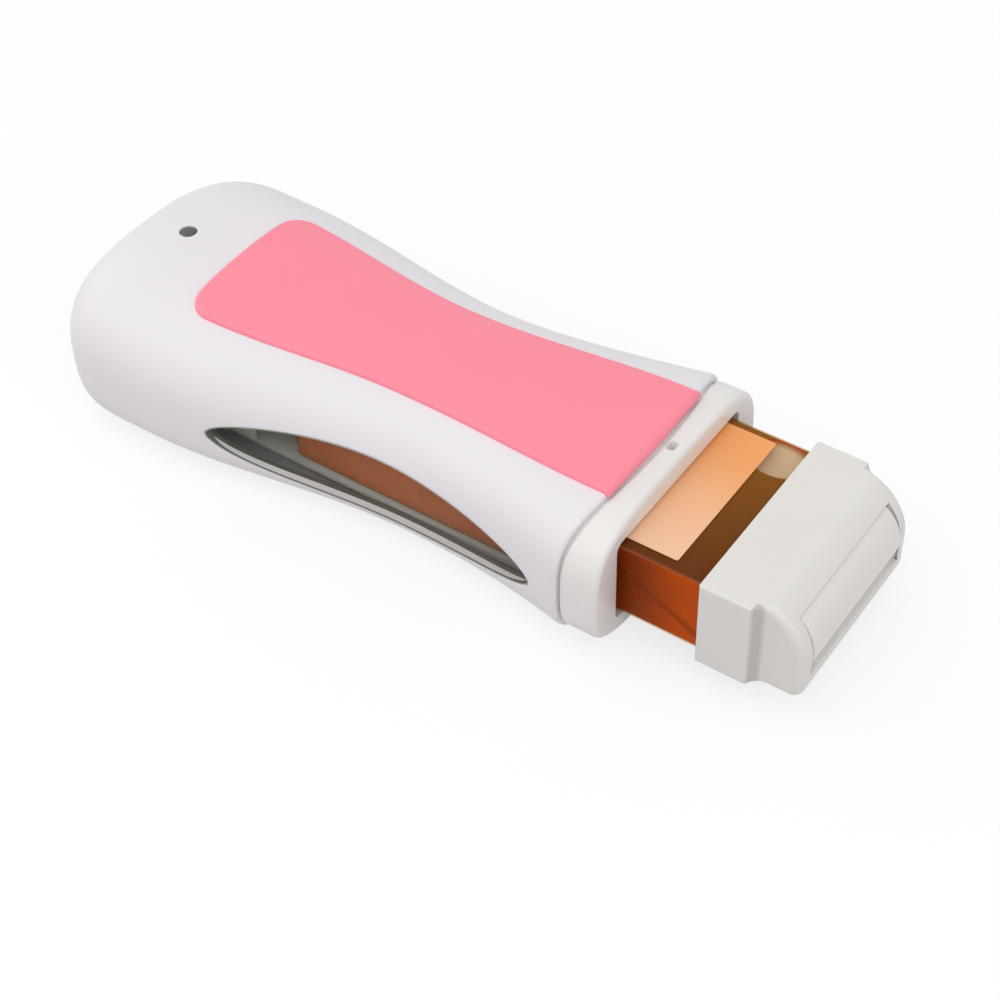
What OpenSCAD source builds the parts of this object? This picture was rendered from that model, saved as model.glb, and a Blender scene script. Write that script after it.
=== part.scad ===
// Hand-held heater for roll-on wax cartridges, lying on its flat underside.
// X runs from the rear of the housing to the roller, Y across, Z up from the surface it lies on.
// The origin is on the underside, below the middle of the housing.
// At rest the cartridge is drawn out of the mouth by slide_home.

/* [Housing] */
// Length of the two shells, rear end to front edge
shell_l = 163; // [160:0.2:166]
// How far the collar stands out of the shells
collar_out = 6.2; // [5.4:0.2:9]
// Wall of the shells
shell_t = 1.8; // [1.5:0.1:2]
// Height of the seam between the shells
split_z = 17.5; // [16.5:0.1:18.5]
// Width at the thick rear
rear_w = 77; // [74:0.5:86]
// Width at the waist
waist_w = 60; // [59:0.5:66]
// Width at the front edge
front_w = 75; // [74:0.5:80]
// Height at the rear
rear_h = 41.6; // [40.5:0.1:45]
// Gap between the chamber and the top at its lowest place
low_gap = 2.8; // [2.3:0.1:5]
// Height at the front edge
front_h = 39.8; // [39.4:0.1:42]
// How far the front edge is swept back at its sides
front_sweep = 4.2; // [1:0.2:5]
// Rise of the underside at the front edge
front_rise = 1; // [0:0.1:1.4]
// Length of the rounded rear end
rear_round = 27; // [22:0.5:32]
// Distance of the widest place from the rear end
widest_from_rear = 36; // [32:0.5:42]
// Distance of the waist from the rear end
waist_from_rear = 110; // [104:0.5:116]
// Distance of the lowest place of the top from the rear end
low_from_rear = 93; // [86:0.5:100]

/* [Collar] */
// Width of the collar
collar_w = 71.6; // [70:0.2:73]
// Height of the collar's top
collar_top_z = 38; // [37.6:0.1:38.4]
// Height of the collar's underside
collar_bottom_z = 2; // [1.2:0.1:2.4]
// Gap between the shells' front edge and the collar's shoulder
collar_groove = 0.8; // [0.4:0.1:1.2]
// Height of the seam between the chamber's halves
chamber_split_z = 19; // [18:0.1:20]
// Rounding of the collar's front edge
collar_round = 2.2; // [1:0.1:2.4]
// Length of the catch slot on the collar
catch_l = 1.6; // [1:0.1:2]
// Width of the catch slot on the collar
catch_w = 2.6; // [1.6:0.1:4]
// Depth of the catch slot on the collar
catch_d = 1; // [0.6:0.1:1.4]
// Distance of the catch slot from the mouth
catch_from_mouth = 4; // [3.6:0.1:4.2]

/* [Top panel] */
// Width of the panel at its front edge
panel_front_w = 42; // [38:0.2:45]
// Least width of the panel
panel_waist_w = 33.2; // [30:0.2:35]
// Width of the panel at its rear
panel_rear_w = 44; // [38:0.5:48]
// Distance of the panel's rear corners from the rear end
panel_from_rear = 41.2; // [38:0.2:46]
// Distance of the panel's narrowest place from the rear end
panel_waist_from_rear = 102; // [96:0.5:108]
// Radius of the panel's rear corners
panel_corner = 6; // [4:0.5:9]
// Bow of the rear edge
panel_rear_bow = 0.6; // [0:0.1:3]
// Height of the panel above the shell
panel_proud = 1.1; // [0.6:0.1:1.6]
// Depth of the panel's recess in the shell
panel_recess = 0.8; // [0.5:0.1:0.9]
// Thickness of the panel's folded front edge
panel_lip_t = 0.8; // [0.6:0.1:1]
// Gap between the panel's folded edge and the collar below it
panel_lip_gap = 0.5; // [0.3:0.1:0.8]
// Width of each of the panel's four hooks
hook_w = 4; // [3:0.5:6]
// Distance of the hooks from the middle line
hook_y = 12; // [9:0.5:12.5]

/* [Windows] */
// Length of each window
window_l = 94; // [86:1:96]
// Distance of the windows' middle from the rear end
window_from_rear = 103.3; // [100:0.1:106]
// Rise of the window above its tips
window_rise = 10.3; // [8:0.1:11]
// Drop of the window below its tips
window_drop = 8.9; // [7:0.1:9.4]
// Height of the window's tips
window_tip_z = 16.6; // [16:0.1:17.4]
// Gap round the panes
window_gap = 0.15; // [0.1:0.05:0.3]

/* [Cartridge] */
// Length of the bottle behind the head
bottle_l = 115; // [110:0.5:118]
// Width of the bottle
bottle_w = 50.4; // [48:0.2:51]
// Thickness of the bottle
bottle_h = 22; // [21:0.1:22.2]
// Radius of the bottle's long edges
bottle_round = 1.6; // [1.4:0.1:3]
// Wall of the bottle
bottle_t = 1.2; // [0.8:0.1:2]
// Length of the neck that plugs into the head
neck_l = 4; // [3:0.2:4.2]
// Width of the neck
neck_w = 42; // [36:0.5:44]
// Thickness of the neck
neck_h = 14; // [11:0.5:16]
// Length of the label
label_l = 84; // [60:1:96]
// Width of the label
label_w = 44.2; // [36:0.2:46]
// Thickness of the label
label_t = 0.15; // [0.1:0.05:0.2]
// Distance of the label from the head
label_from_head = 8.2; // [4:0.2:14]
// Radius of the air bubble in the wax
bubble_r = 7; // [4:0.5:9]

/* [Head] */
// Width of the head's block
head_w = 54; // [54:0.2:58]
// Height of the head
head_h = 25; // [24.8:0.1:25.6]
// Length of the full-width block
block_l = 12.8; // [10:0.2:15]
// Step in from the block to each arm
arm_step = 2.4; // [1.6:0.1:2.6]
// Length over which the step curves in
step_l = 3.6; // [2.8:0.1:4.4]
// Length of the head
head_l = 25.5; // [25.2:0.1:25.9]
// Radius of the round nose
nose_r = 14.4; // [14:0.1:15]
// Height of the nose's middle below the cartridge's axis
nose_drop = 0.8; // [0.4:0.1:1.2]
// Radius of the nose's lower corner
nose_corner = 3.2; // [2:0.1:4]
// Radius of the roller
roller_r = 10.6; // [10.2:0.1:10.8]
// Length of the roller
roller_l = 40.8; // [37:0.2:41.4]
// Height of the roller's axis below the cartridge's axis
roller_drop = 0.05; // [0:0.05:0.3]
// How far the roller stands out of the nose
roller_proud = 0.4; // [0.2:0.1:0.6]
// Gap round the roller
roller_gap = 0.3; // [0.3:0.05:0.4]
// Radius of the roller's trunnions
trunnion_r = 2.5; // [1.5:0.1:3.5]
// Length of the roller's trunnions outside their gap
trunnion_l = 2.2; // [1.4:0.1:2.4]
// Radial clearance of the trunnions in the arms
trunnion_gap = 0.06; // [0.03:0.01:0.1]
// Height of the wax slot between bottle and roller
slot_h = 5; // [3:0.5:8]
// Width of the wax slot
slot_w = 37; // [30:0.5:38]
// How far the upper lip reaches short of the nose
upper_lip_back = 4.2; // [4:0.1:6]
// Height of the lower lip's edge below the roller's axis
lower_lip_drop = 7; // [6:0.1:8]

/* [Chamber] */
// How far the cartridge slides in from where it stands
slide_home = 20.5; // [15:0.5:21]
// Gap between head and mouth when the cartridge is home
home_gap = 0.3; // [0.2:0.1:1]
// Gap between the bottle's rear and the chamber's rear wall when it is home
rear_gap = 0.5; // [0.4:0.1:2]
// Gap between bottle and mouth at each side
mouth_side_gap = 1.5; // [0.6:0.1:1.6]
// Gap between bottle and mouth above and below
mouth_top_gap = 1; // [1:0.05:1.1]
// Height of the cartridge's axis above the surface
axis_z = 20.5; // [20.4:0.1:20.8]
// Wall of the chamber
chamber_t = 1.6; // [1.2:0.1:1.7]
// Width of the chamber's roof
roof_w = 36; // [28:0.5:37]
// Width of the chamber's floor
floor_w = 50; // [48:0.2:50.4]
// Length of the two cheeks that guide the bottle's rear
cheek_l = 9; // [6:0.5:12]
// Gap between the bottle and each cheek
cheek_gap = 0.5; // [0.3:0.05:0.6]

/* [Heater] */
// Length of the heater plate
plate_l = 70; // [60:1:74]
// Width of the heater plate
plate_w = 38; // [36:0.5:44]
// Thickness of the heater plate
plate_t = 1.5; // [1.2:0.1:1.6]
// Gap between the bottle and the plate
plate_gap = 0.3; // [0.2:0.05:0.4]
// Length of the heating element
ptc_l = 35; // [28:0.5:38]
// Width of the heating element
ptc_w = 14; // [10:0.5:15]
// Thickness of the heating element
ptc_h = 3.2; // [2.8:0.1:3.4]
// Width of the clamp strap
clamp_w = 8; // [7:0.5:10]
// Thickness of the clamp strap
clamp_t = 0.8; // [0.6:0.1:0.9]
// How far the clamp's screws stand past the element's ends
clamp_screw_out = 6; // [5:0.5:7]
// Length of the thermostat
thermostat_l = 16; // [12:0.5:18]
// Width of the thermostat
thermostat_w = 6.4; // [5:0.2:7]
// Thickness of the thermostat
thermostat_h = 3.2; // [2.4:0.1:3.4]
// Length of the thermal fuse's case
fuse_l = 11; // [8:0.5:13]
// Radius of the thermal fuse's case
fuse_r = 1.8; // [1.4:0.1:2]
// Length of the leaf spring
spring_l = 44; // [36:1:50]
// Width of the leaf spring
spring_w = 10; // [6:0.5:14]
// Thickness of the leaf spring
spring_t = 0.3; // [0.2:0.05:0.35]

/* [Electrics] */
// Radius of the indicator's hole
led_hole_r = 2.3; // [1.8:0.05:2.8]
// Distance of the indicator from the rear end
led_from_rear = 23.7; // [22:0.1:25]
// How deep the lens lies in its hole
lens_sink = 1; // [0.6:0.1:1.2]
// Thickness of the lens below its recess
lens_t = 2.4; // [2:0.1:3]
// Radius of the indicator lamp
led_r = 1.5; // [1.2:0.1:1.8]
// Height of the indicator lamp
led_h = 5.2; // [4:0.1:6]
// Length of the circuit board
board_l = 20; // [17:0.5:24]
// Width of the circuit board
board_w = 26; // [24:0.5:32]
// Thickness of the circuit board
board_t = 1.6; // [1:0.1:2]
// Width of the inlet's body
inlet_w = 19.4; // [19:0.1:21]
// Height of the inlet's body
inlet_h = 11.2; // [10.6:0.1:12.4]
// Length of the inlet's body
inlet_l = 20; // [18:0.5:23]
// Height of the inlet's middle
inlet_z = 19.5; // [18.5:0.1:20.5]
// Depth of the inlet's socket
socket_d = 13.5; // [12:0.5:15]
// Radius of the socket's two round ends
socket_r = 4.1; // [4:0.05:4.4]
// Distance between the pins
pin_pitch = 8.6; // [8.4:0.1:8.8]
// Radius of a pin
pin_r = 1.2; // [1:0.05:1.4]
// How far the pins stay below the socket's mouth
pin_sink = 4.8; // [4.6:0.1:6]
// Radius of a lead inside the housing
wire_r = 0.8; // [0.5:0.1:1]

/* [Fasteners] */
// Radius of a screw's shank
screw_r = 1.2; // [1:0.05:1.4]
// Radius of a screw's head
screw_head_r = 2.3; // [2:0.1:2.5]
// Height of a screw's head
screw_head_h = 1.3; // [1:0.1:1.5]
// Radius of a screw boss
boss_r = 3.6; // [3.4:0.1:4.2]
// Length of a shell screw below its head
shell_screw_l = 20; // [16:0.5:22]
// Depth of the screw holes in the underside
screw_sink = 5; // [4:0.5:7]

/* [Hidden] */
$fn = 48;

// Heights of the chamber's floor and roof, which set the housing's lowest place.
floor_z = axis_z - bottle_h / 2 - mouth_top_gap;
roof_z = axis_z + bottle_h / 2 + mouth_top_gap + chamber_t;
low_h = roof_z + low_gap + shell_t;

// Places along the length.
high_from_rear = 5;
housing_l = shell_l + collar_out;
rear_x = -housing_l / 2;
front_x = rear_x + shell_l;
mouth_x = rear_x + housing_l;
close_x = rear_x + rear_round;
widest_x = rear_x + widest_from_rear;
waist_x = rear_x + waist_from_rear;
low_x = rear_x + low_from_rear;
high_x = rear_x + high_from_rear;
head_x = mouth_x + home_gap + slide_home;
bottle_x = head_x - bottle_l;
chamber_x = bottle_x - slide_home - rear_gap;
led_x = rear_x + led_from_rear;

// Shape of the housing's sections: exponents of the rounded outlines.
round_top_rear = 2.8;
round_top_front = 3.7;
round_bottom_rear = 3.65;
round_bottom_front = 3.2;
round_end = 2.6;
flare = 1.9;
rise_l = 60;
sweep_l = 32;
// The underside is cut flat: the round section would reach this much lower.
flat_cut = 0.4;

// Fineness of the lofted surfaces.
ring_steps = 30;
end_steps = 8;
body_steps = 20;
end_angle = 86;

// Small clearances.
seat = 0.1;
slip = 0.3;
eps = 0.01;
// Overreach of cuts, and the size of the blocks that split the collar.
over = 1;
big = 400;

function ease(t) = (1 - cos(180 * min(max(t, 0), 1))) / 2;
function mix(a, b, t) = a + (b - a) * t;
function power(v, e) = pow(max(v, 0), e);
function signed(v, e) = sign(v) * power(abs(v), e);

// Half-width of the outline at x.
function half_w(x) = x < waist_x
    ? mix(rear_w, waist_w, ease((x - widest_x) / (waist_x - widest_x))) / 2
    : mix(waist_w, front_w, power((x - waist_x) / (front_x - waist_x), flare)) / 2;
// Height of the top above the seam at x.
function top_h(x) = (x < low_x
    ? mix(rear_h, low_h, ease((x - high_x) / (low_x - high_x)))
    : mix(low_h, front_h, ease((x - low_x) / (front_x - low_x)))) - split_z;
function bottom_h(x) = split_z + flat_cut
    - (front_rise + flat_cut) * power((x - front_x + rise_l) / rise_l, 2);
function top_round(x) = mix(round_top_rear, round_top_front, ease((x - low_x) / (front_x - low_x)));
function bottom_round(x) = mix(round_bottom_rear, round_bottom_front, ease((x - low_x) / (front_x - low_x)));
// How far the section through x is swept back at its sides.
function swept(x) = front_sweep * ease((x - front_x + sweep_l) / sweep_l);
// How far the rounded rear end has closed at x, for a surface inset by d.
function closed(x, d) = x >= close_x ? 1
    : power(1 - power((close_x - x) / (rear_round - d), round_end), 1 / round_end);

// Height of the top surface at x and y, inset by d.
function top_z(x, y, d = 0) = let (s = closed(x, d), n = top_round(x))
    split_z + (top_h(x) - d) * s
        * power(1 - power(abs(y) / ((half_w(x) - d) * s), n), 1 / n);
// Half-width of the surface at x and height z, inset by d.
function side_y(x, z, d = 0) = let (
        s = closed(x, d),
        n = z > split_z ? top_round(x) : bottom_round(x),
        h = (z > split_z ? top_h(x) : bottom_h(x)) - d)
    (half_w(x) - d) * s * power(1 - power(abs(z - split_z) / (h * s), n), 1 / n);

// One point of the upper or lower half's section, at angle a from one flank to the other.
function upper_point(x0, sweep, s, a, d) = let (
        x = x0 - sweep * power(abs(cos(a)), 4 / top_round(x0)),
        n = top_round(x))
    [x, (half_w(x) - d) * s * signed(cos(a), 2 / n), split_z + (top_h(x) - d) * s * power(sin(a), 2 / n)];
function lower_point(x0, sweep, s, a, d) = let (
        x = x0 - sweep * power(abs(cos(a)), 4 / bottom_round(x0)),
        n = bottom_round(x))
    [x, (half_w(x) - d) * s * signed(cos(a), 2 / n),
        max(d, split_z - (bottom_h(x) - d) * s * power(sin(a), 2 / n))];

// Stations of the shells: angles round the rear end, then steps along the body.
end_angles = [for (i = [0 : end_steps]) end_angle * (1 - i / end_steps)];
last_station = end_steps + body_steps;
function station(i, d) = i <= end_steps
    ? let (a = end_angles[i]) [close_x - (rear_round - d) * power(sin(a), 2 / round_end),
        power(cos(a), 2 / round_end)]
    : [mix(close_x, front_x, (i - end_steps) / body_steps), 1];
function grid_of(upper, d) = [for (i = [0 : last_station])
    let (st = station(i, d))
    [for (j = [0 : ring_steps]) let (a = 180 * j / ring_steps)
        upper ? upper_point(st[0], swept(st[0]), st[1], a, d)
            : lower_point(st[0], swept(st[0]), st[1], a, d)]];

// A closed solid between two grids of points, front[i][j] and back[i][j].
module sheet(front, back) {
    ni = len(front);
    nj = len(front[0]);
    function id(k, i, j) = (k * ni + i) * nj + j;
    function quad(a, b, c, d) = [[a, c, b], [a, d, c]];
    points = [for (g = [front, back]) for (row = g) for (p = row) p];
    faces = [
        for (i = [0 : ni - 2]) for (j = [0 : nj - 2]) each quad(
            id(0, i, j), id(0, i, j + 1), id(0, i + 1, j + 1), id(0, i + 1, j)),
        for (i = [0 : ni - 2]) for (j = [0 : nj - 2]) each quad(
            id(1, i, j), id(1, i + 1, j), id(1, i + 1, j + 1), id(1, i, j + 1)),
        for (j = [0 : nj - 2]) each quad(
            id(0, 0, j), id(1, 0, j), id(1, 0, j + 1), id(0, 0, j + 1)),
        for (j = [0 : nj - 2]) each quad(
            id(0, ni - 1, j), id(0, ni - 1, j + 1), id(1, ni - 1, j + 1), id(1, ni - 1, j)),
        for (i = [0 : ni - 2]) each quad(
            id(0, i, 0), id(0, i + 1, 0), id(1, i + 1, 0), id(1, i, 0)),
        for (i = [0 : ni - 2]) each quad(
            id(0, i, nj - 1), id(1, i, nj - 1), id(1, i + 1, nj - 1), id(0, i + 1, nj - 1))
    ];
    polyhedron(points, faces);
}

// A closed solid through rings of points that lie one behind the other.
module loft(rings) {
    n = len(rings[0]);
    last = len(rings) - 1;
    points = [for (r = rings) for (p = r) p];
    faces = [
        [for (j = [0 : n - 1]) j],
        for (i = [0 : last - 1]) for (j = [0 : n - 1]) each [
            [i * n + j, (i + 1) * n + j, (i + 1) * n + (j + 1) % n],
            [i * n + j, (i + 1) * n + (j + 1) % n, i * n + (j + 1) % n]],
        [for (j = [0 : n - 1]) last * n + n - 1 - j]
    ];
    polyhedron(points, faces);
}

// A round tube along a path of points, with a ring of sides at each point.
wire_sides = 8;
module tube(path, r) {
    last = len(path) - 1;
    function unit(v) = v / norm(v);
    function along(i) = unit(path[min(i + 1, last)] - path[max(i - 1, 0)]);
    up = [0.12, 0.2, 1];
    loft([for (i = [0 : last])
        let (t = along(i), u = unit(cross(t, up)), v = cross(t, u))
        [for (k = [0 : wire_sides - 1]) let (a = 360 * k / wire_sides)
            path[i] + r * (cos(a) * u + sin(a) * v)]]);
}

// Prisms along X and Y, drawn in the plane that faces the axis.
module along_x(x0, x1) {
    translate([x0, 0, 0]) rotate([90, 0, 90]) linear_extrude(x1 - x0) children();
}
module along_y(y0, y1) {
    translate([0, y1, 0]) rotate([90, 0, 0]) linear_extrude(y1 - y0) children();
}
module round_rect(w, h, r) {
    union() {
        square([w - 2 * r, h], center = true);
        square([w, h - 2 * r], center = true);
        for (sx = [-1, 1]) for (sy = [-1, 1])
            translate([sx * (w / 2 - r), sy * (h / 2 - r)]) circle(r);
    }
}
module block(x0, x1, w, z0, z1) {
    translate([x0, -w / 2, z0]) cube([x1 - x0, w, z1 - z0]);
}
module post(x, y, z0, z1, r) {
    translate([x, y, z0]) cylinder(h = z1 - z0, r = r);
}

// Windows: half-heights follow the same curve above and below the tips.
window_x = rear_x + window_from_rear;
window_power = 0.57;
window_steps = 22;
window_rows = 7;
function eye(u) = power(1 - u * u, window_power);
module eye_outline(grow) {
    us = [for (i = [0 : 2 * window_steps]) -cos(180 * i / (2 * window_steps))];
    polygon([
        for (u = us) [window_x + u * (window_l / 2 + grow), window_tip_z + eye(u) * (window_rise + grow)],
        for (i = [1 : 2 * window_steps - 1]) let (u = cos(180 * i / (2 * window_steps)))
            [window_x + u * (window_l / 2 + grow), window_tip_z - eye(u) * (window_drop + grow)]
    ]);
}
module window_cut() {
    along_y(-front_w, front_w) eye_outline(0);
}
module pane() {
    reach = cos(180 / (2 * window_steps));
    function grid(d) = [for (i = [0 : window_steps])
        let (u = -reach * cos(180 * i / window_steps), x = window_x + u * (window_l / 2 - window_gap))
        [for (j = [0 : window_rows])
            let (z = window_tip_z + eye(u)
                * mix(-(window_drop - window_gap), window_rise - window_gap, j / window_rows))
            [x, side_y(x, z, d), z]]];
    sheet(grid(0), grid(shell_t));
}
module window_left() {
    color([0.32, 0.34, 0.32, 0.5]) pane();
}
module window_right() {
    color([0.32, 0.34, 0.32, 0.5]) mirror([0, 1, 0]) pane();
}

// Top panel: v runs across from -1 to 1, s from the rear edge to the shells' front edge.
panel_x = rear_x + panel_from_rear;
panel_waist_x = rear_x + panel_waist_from_rear;
panel_end_x = front_x + seat + panel_lip_t;
panel_corner_steps = 4;
panel_long_steps = 18;
panel_rows = 10;
function panel_half(x) = x < panel_waist_x
    ? mix(panel_rear_w, panel_waist_w, ease((x - panel_x) / (panel_waist_x - panel_x))) / 2
    : mix(panel_waist_w, panel_front_w, ease((x - panel_waist_x) / (panel_end_x - panel_waist_x))) / 2;
// Half-width with the rear corners rounded off.
function panel_edge(x, grow) = let (c = max(panel_corner - (x - panel_x), 0))
    panel_half(x) + grow - panel_corner + sqrt(max(panel_corner * panel_corner - c * c, 0));
panel_stations = [
    for (i = [0 : panel_corner_steps]) panel_x + panel_corner * (1 - cos(90 * i / panel_corner_steps)),
    for (i = [1 : panel_long_steps]) mix(panel_x + panel_corner, front_x, i / panel_long_steps)];
// The rear edge is bowed backwards, and the front edge follows the shells' swept edge.
function bowed(x, y) = x - panel_rear_bow * (1 - power(2 * abs(y) / panel_rear_w, 2))
        * (front_x - x) / (front_x - panel_x)
    - swept(x) * power(abs(y) / half_w(x), 2);
function panel_row(x, z_of, grow) = [for (j = [0 : panel_rows])
    let (v = 1 - 2 * j / panel_rows, y = v * panel_edge(x, grow), bx = bowed(x - grow, y))
    [bx, y, z_of(bx, y)]];
panel_floor = function(x, y) top_z(x, y) - panel_recess;
module top_panel_recess() {
    beyond = 4 * over;
    air = function(x, y) top_z(x, 0) + beyond;
    rows = function(f) [for (x = panel_stations) panel_row(x, f, seat), panel_row(front_x + beyond, f, seat)];
    sheet(rows(air), rows(panel_floor));
}
hook_from_rear = 14;
hook_from_front = 24;
hook_x = [panel_x + hook_from_rear, front_x - hook_from_front];
hook_t = 1.2;
hook_l = 1.5;
module panel_hooks(grow) {
    for (x = hook_x) for (sy = [-1, 1])
        translate([x - hook_w / 2 - grow, sy * hook_y - hook_t / 2 - grow,
            top_z(x, hook_y) - shell_t - hook_l - grow])
            cube([hook_w + 2 * grow, hook_t + 2 * grow, shell_t + hook_l - panel_recess / 2 + grow]);
}
module top_panel() {
    top = function(x, y) top_z(x, y) + panel_proud;
    under = function(x, y) top_z(x, y) - panel_recess + seat;
    fold = function(x, y) collar_z(y) + panel_lip_gap;
    lip = [front_x + seat, front_x + 2 * seat, panel_end_x];
    color([1, 0.56, 0.63]) union() {
        sheet(
            [for (x = panel_stations) panel_row(x, top, 0), for (x = lip) panel_row(x, top, 0)],
            [for (x = panel_stations) panel_row(x, under, 0), panel_row(lip[0], under, 0),
                panel_row(lip[1], fold, 0), panel_row(lip[2], fold, 0)]);
        panel_hooks(0);
    }
}

// Screw bosses of the shells: near the rear corners and behind the chamber.
rear_screw_y = 20;
front_screw_y = 27;
rear_screw_in = 6;
front_screw_back = 9;
shell_screw_at = [[close_x - rear_screw_in, rear_screw_y],
    [chamber_x - chamber_t - front_screw_back, front_screw_y]];
module at_shell_screws() {
    for (p = shell_screw_at) for (sy = [-1, 1]) translate([p[0], sy * p[1], 0]) children();
}
function boss_top(p) = top_z(p[0], p[1] + boss_r) - shell_t / 3;
function boss_foot(p) = let (n = bottom_round(p[0])) split_z - (split_z - shell_t / 2)
    * power(1 - power((p[1] + boss_r) / half_w(p[0]), n), 1 / n);
head_seat_z = screw_sink + screw_head_h;
pilot_top = head_seat_z + shell_screw_l - screw_head_h + over;

// Ribs that carry the chamber and the inlet.
rib_t = 1.6;
rear_rib_in = 6;
front_rib_back = 16;
rib_x = [chamber_x + rear_rib_in, front_x - front_rib_back];
low_rib_w = 16;
inlet_rib_in = 9;
inlet_rib_x = rear_x + inlet_rib_in;
inlet_rib_w = 14;

// The walls are thinner where the bottle's long edges pass close to them.
relief_gap = 0.4;
module bottle_relief() {
    translate([0, 0, axis_z]) along_x(chamber_x, neck_x)
        round_rect(bottle_w + 2 * relief_gap, bottle_h + 2 * relief_gap, bottle_round + relief_gap);
}

module upper_shell() {
    color([0.93, 0.93, 0.94]) difference() {
        union() {
            sheet(grid_of(true, 0), grid_of(true, shell_t));
            for (p = shell_screw_at) for (sy = [-1, 1])
                post(p[0], sy * p[1], split_z, boss_top(p), boss_r);
            for (sy = [-1, 1])
                post(board_post_x, sy * board_post_y, board_z + board_t, board_post_top, board_post_r);
            for (x = rib_x)
                block(x, x + rib_t, roof_w - 2 * boss_r, roof_z + seat,
                    top_z(x, 0) - shell_t / 2 - panel_recess / 2);
            block(inlet_rib_x, inlet_rib_x + rib_t, inlet_rib_w, inlet_z + inlet_h / 2 + seat,
                top_z(inlet_rib_x, inlet_rib_w / 2) - shell_t / 2);
        }
        top_panel_recess();
        panel_hooks(slip);
        window_cut();
        post(led_x, 0, split_z + boss_r, rear_h + over, led_hole_r);
        for (p = shell_screw_at) for (sy = [-1, 1])
            post(p[0], sy * p[1], split_z - over, pilot_top, screw_r + seat / 2);
        for (sy = [-1, 1])
            post(board_post_x, sy * board_post_y, board_z, board_z + board_t + board_bite + over,
                screw_r + seat / 2);
        inlet_body(seat, -inlet_reach, inlet_reach);
        bottle_relief();
    }
}

module lower_shell() {
    color([0.93, 0.93, 0.94]) difference() {
        union() {
            sheet(grid_of(false, shell_t), grid_of(false, 0));
            for (p = shell_screw_at) for (sy = [-1, 1])
                post(p[0], sy * p[1], boss_foot(p), split_z, boss_r);
            for (x = rib_x)
                block(x, x + rib_t, low_rib_w, shell_t / 2, floor_z - chamber_t - seat);
            block(inlet_rib_x, inlet_rib_x + rib_t, inlet_rib_w,
                split_z - (bottom_h(inlet_rib_x) - shell_t / 2) * closed(inlet_rib_x, shell_t / 2),
                inlet_z - inlet_h / 2 - seat);
        }
        window_cut();
        for (p = shell_screw_at) for (sy = [-1, 1]) {
            post(p[0], sy * p[1], -over, head_seat_z, screw_head_r + slip);
            post(p[0], sy * p[1], 0, split_z + over, screw_r + slip / 2);
        }
        inlet_body(seat, -inlet_reach, inlet_reach);
    }
}

// Chamber and collar: the opening at the front is shared by both halves.
mouth_w = bottle_w + 2 * mouth_side_gap;
mouth_h = bottle_h + 2 * mouth_top_gap;
sleeve_l = 8;
neck_x = front_x - sleeve_l;
neck_inset = shell_t + seat;
collar_steps = 5;
shoulder = 0.5;
function collar_z(y) = split_z + (collar_top_z - split_z)
    * power(1 - power(2 * abs(y) / collar_w, round_top_front), 1 / round_top_front);
// The neck is a ring inside the shells' front edge; the collar is a ring in front of it, inset by d.
function neck_ring(x, sweep) = [
    for (j = [0 : ring_steps - 1]) upper_point(x, sweep, 1, 180 * j / ring_steps, neck_inset),
    for (j = [0 : ring_steps - 1]) let (p = lower_point(x, sweep, 1, 180 * j / ring_steps, neck_inset))
        [p[0], -p[1], p[2]]];
function collar_ring(x, sweep, d) = [for (j = [0 : 2 * ring_steps - 1])
    let (a = 180 * j / ring_steps, up = j <= ring_steps, n = up ? round_top_front : round_bottom_front)
    [x - sweep * power(abs(cos(a)), 4 / n), (collar_w / 2 - d) * signed(cos(a), 2 / n),
        split_z + ((up ? collar_top_z - split_z : split_z - collar_bottom_z) - d) * signed(sin(a), 2 / n)]];
module collar() {
    back_x = front_x + collar_groove;
    loft([
        neck_ring(neck_x, 0), neck_ring(mix(neck_x, front_x, 0.5), front_sweep / 2),
        neck_ring(front_x, front_sweep), neck_ring(back_x, front_sweep),
        collar_ring(back_x, front_sweep, shoulder / 4),
        collar_ring(back_x + shoulder, front_sweep, 0),
        for (i = [0 : collar_steps]) let (a = 90 * i / collar_steps)
            collar_ring(mouth_x - collar_round * (1 - sin(a)), 0, collar_round * (1 - cos(a)))]);
}
module mouth() {
    translate([0, 0, axis_z]) along_x(neck_x - collar_out, mouth_x + over)
        round_rect(mouth_w, mouth_h, bottle_round + mouth_top_gap / 2);
}
plate_share = 0.54;
plate_x = mix(chamber_x, neck_x, plate_share);
plate_top = axis_z - bottle_h / 2 - plate_gap;
plate_z = plate_top - plate_t;
clamp_z = plate_z - ptc_h - clamp_t;
clamp_boss_r = 3.2;
clamp_screw_x = ptc_l / 2 + clamp_screw_out;
module upper_half() {
    translate([-big / 2, -big / 2, chamber_split_z]) cube(big);
}
module lower_half() {
    translate([-big / 2, -big / 2, chamber_split_z - big]) cube(big);
}
cheek_t = 1.2;
cheek_y = bottle_w / 2 + cheek_gap;
// The bottle's rear end runs between two cheeks.
module cheeks(z0, z1) {
    for (sy = [-1, 1]) translate([chamber_x - eps, sy > 0 ? cheek_y : -cheek_y - cheek_t, z0])
        cube([cheek_l, cheek_t, z1 - z0]);
}
module chamber_upper() {
    color([0.9, 0.9, 0.88]) union() {
        difference() {
            intersection() {
                collar();
                upper_half();
            }
            mouth();
            block(mouth_x - catch_from_mouth - catch_l / 2, mouth_x - catch_from_mouth + catch_l / 2,
                catch_w, collar_top_z - catch_d, collar_top_z + over);
        }
        block(chamber_x - chamber_t, neck_x + eps, roof_w, roof_z - chamber_t, roof_z);
        block(chamber_x - chamber_t, chamber_x, roof_w, chamber_split_z, roof_z - chamber_t + eps);
        block(chamber_x - chamber_t, chamber_x, 2 * (cheek_y + cheek_t), chamber_split_z, cheek_top);
        cheeks(chamber_split_z, cheek_top);
    }
}
cheek_top = axis_z + bottle_h / 4;
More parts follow.
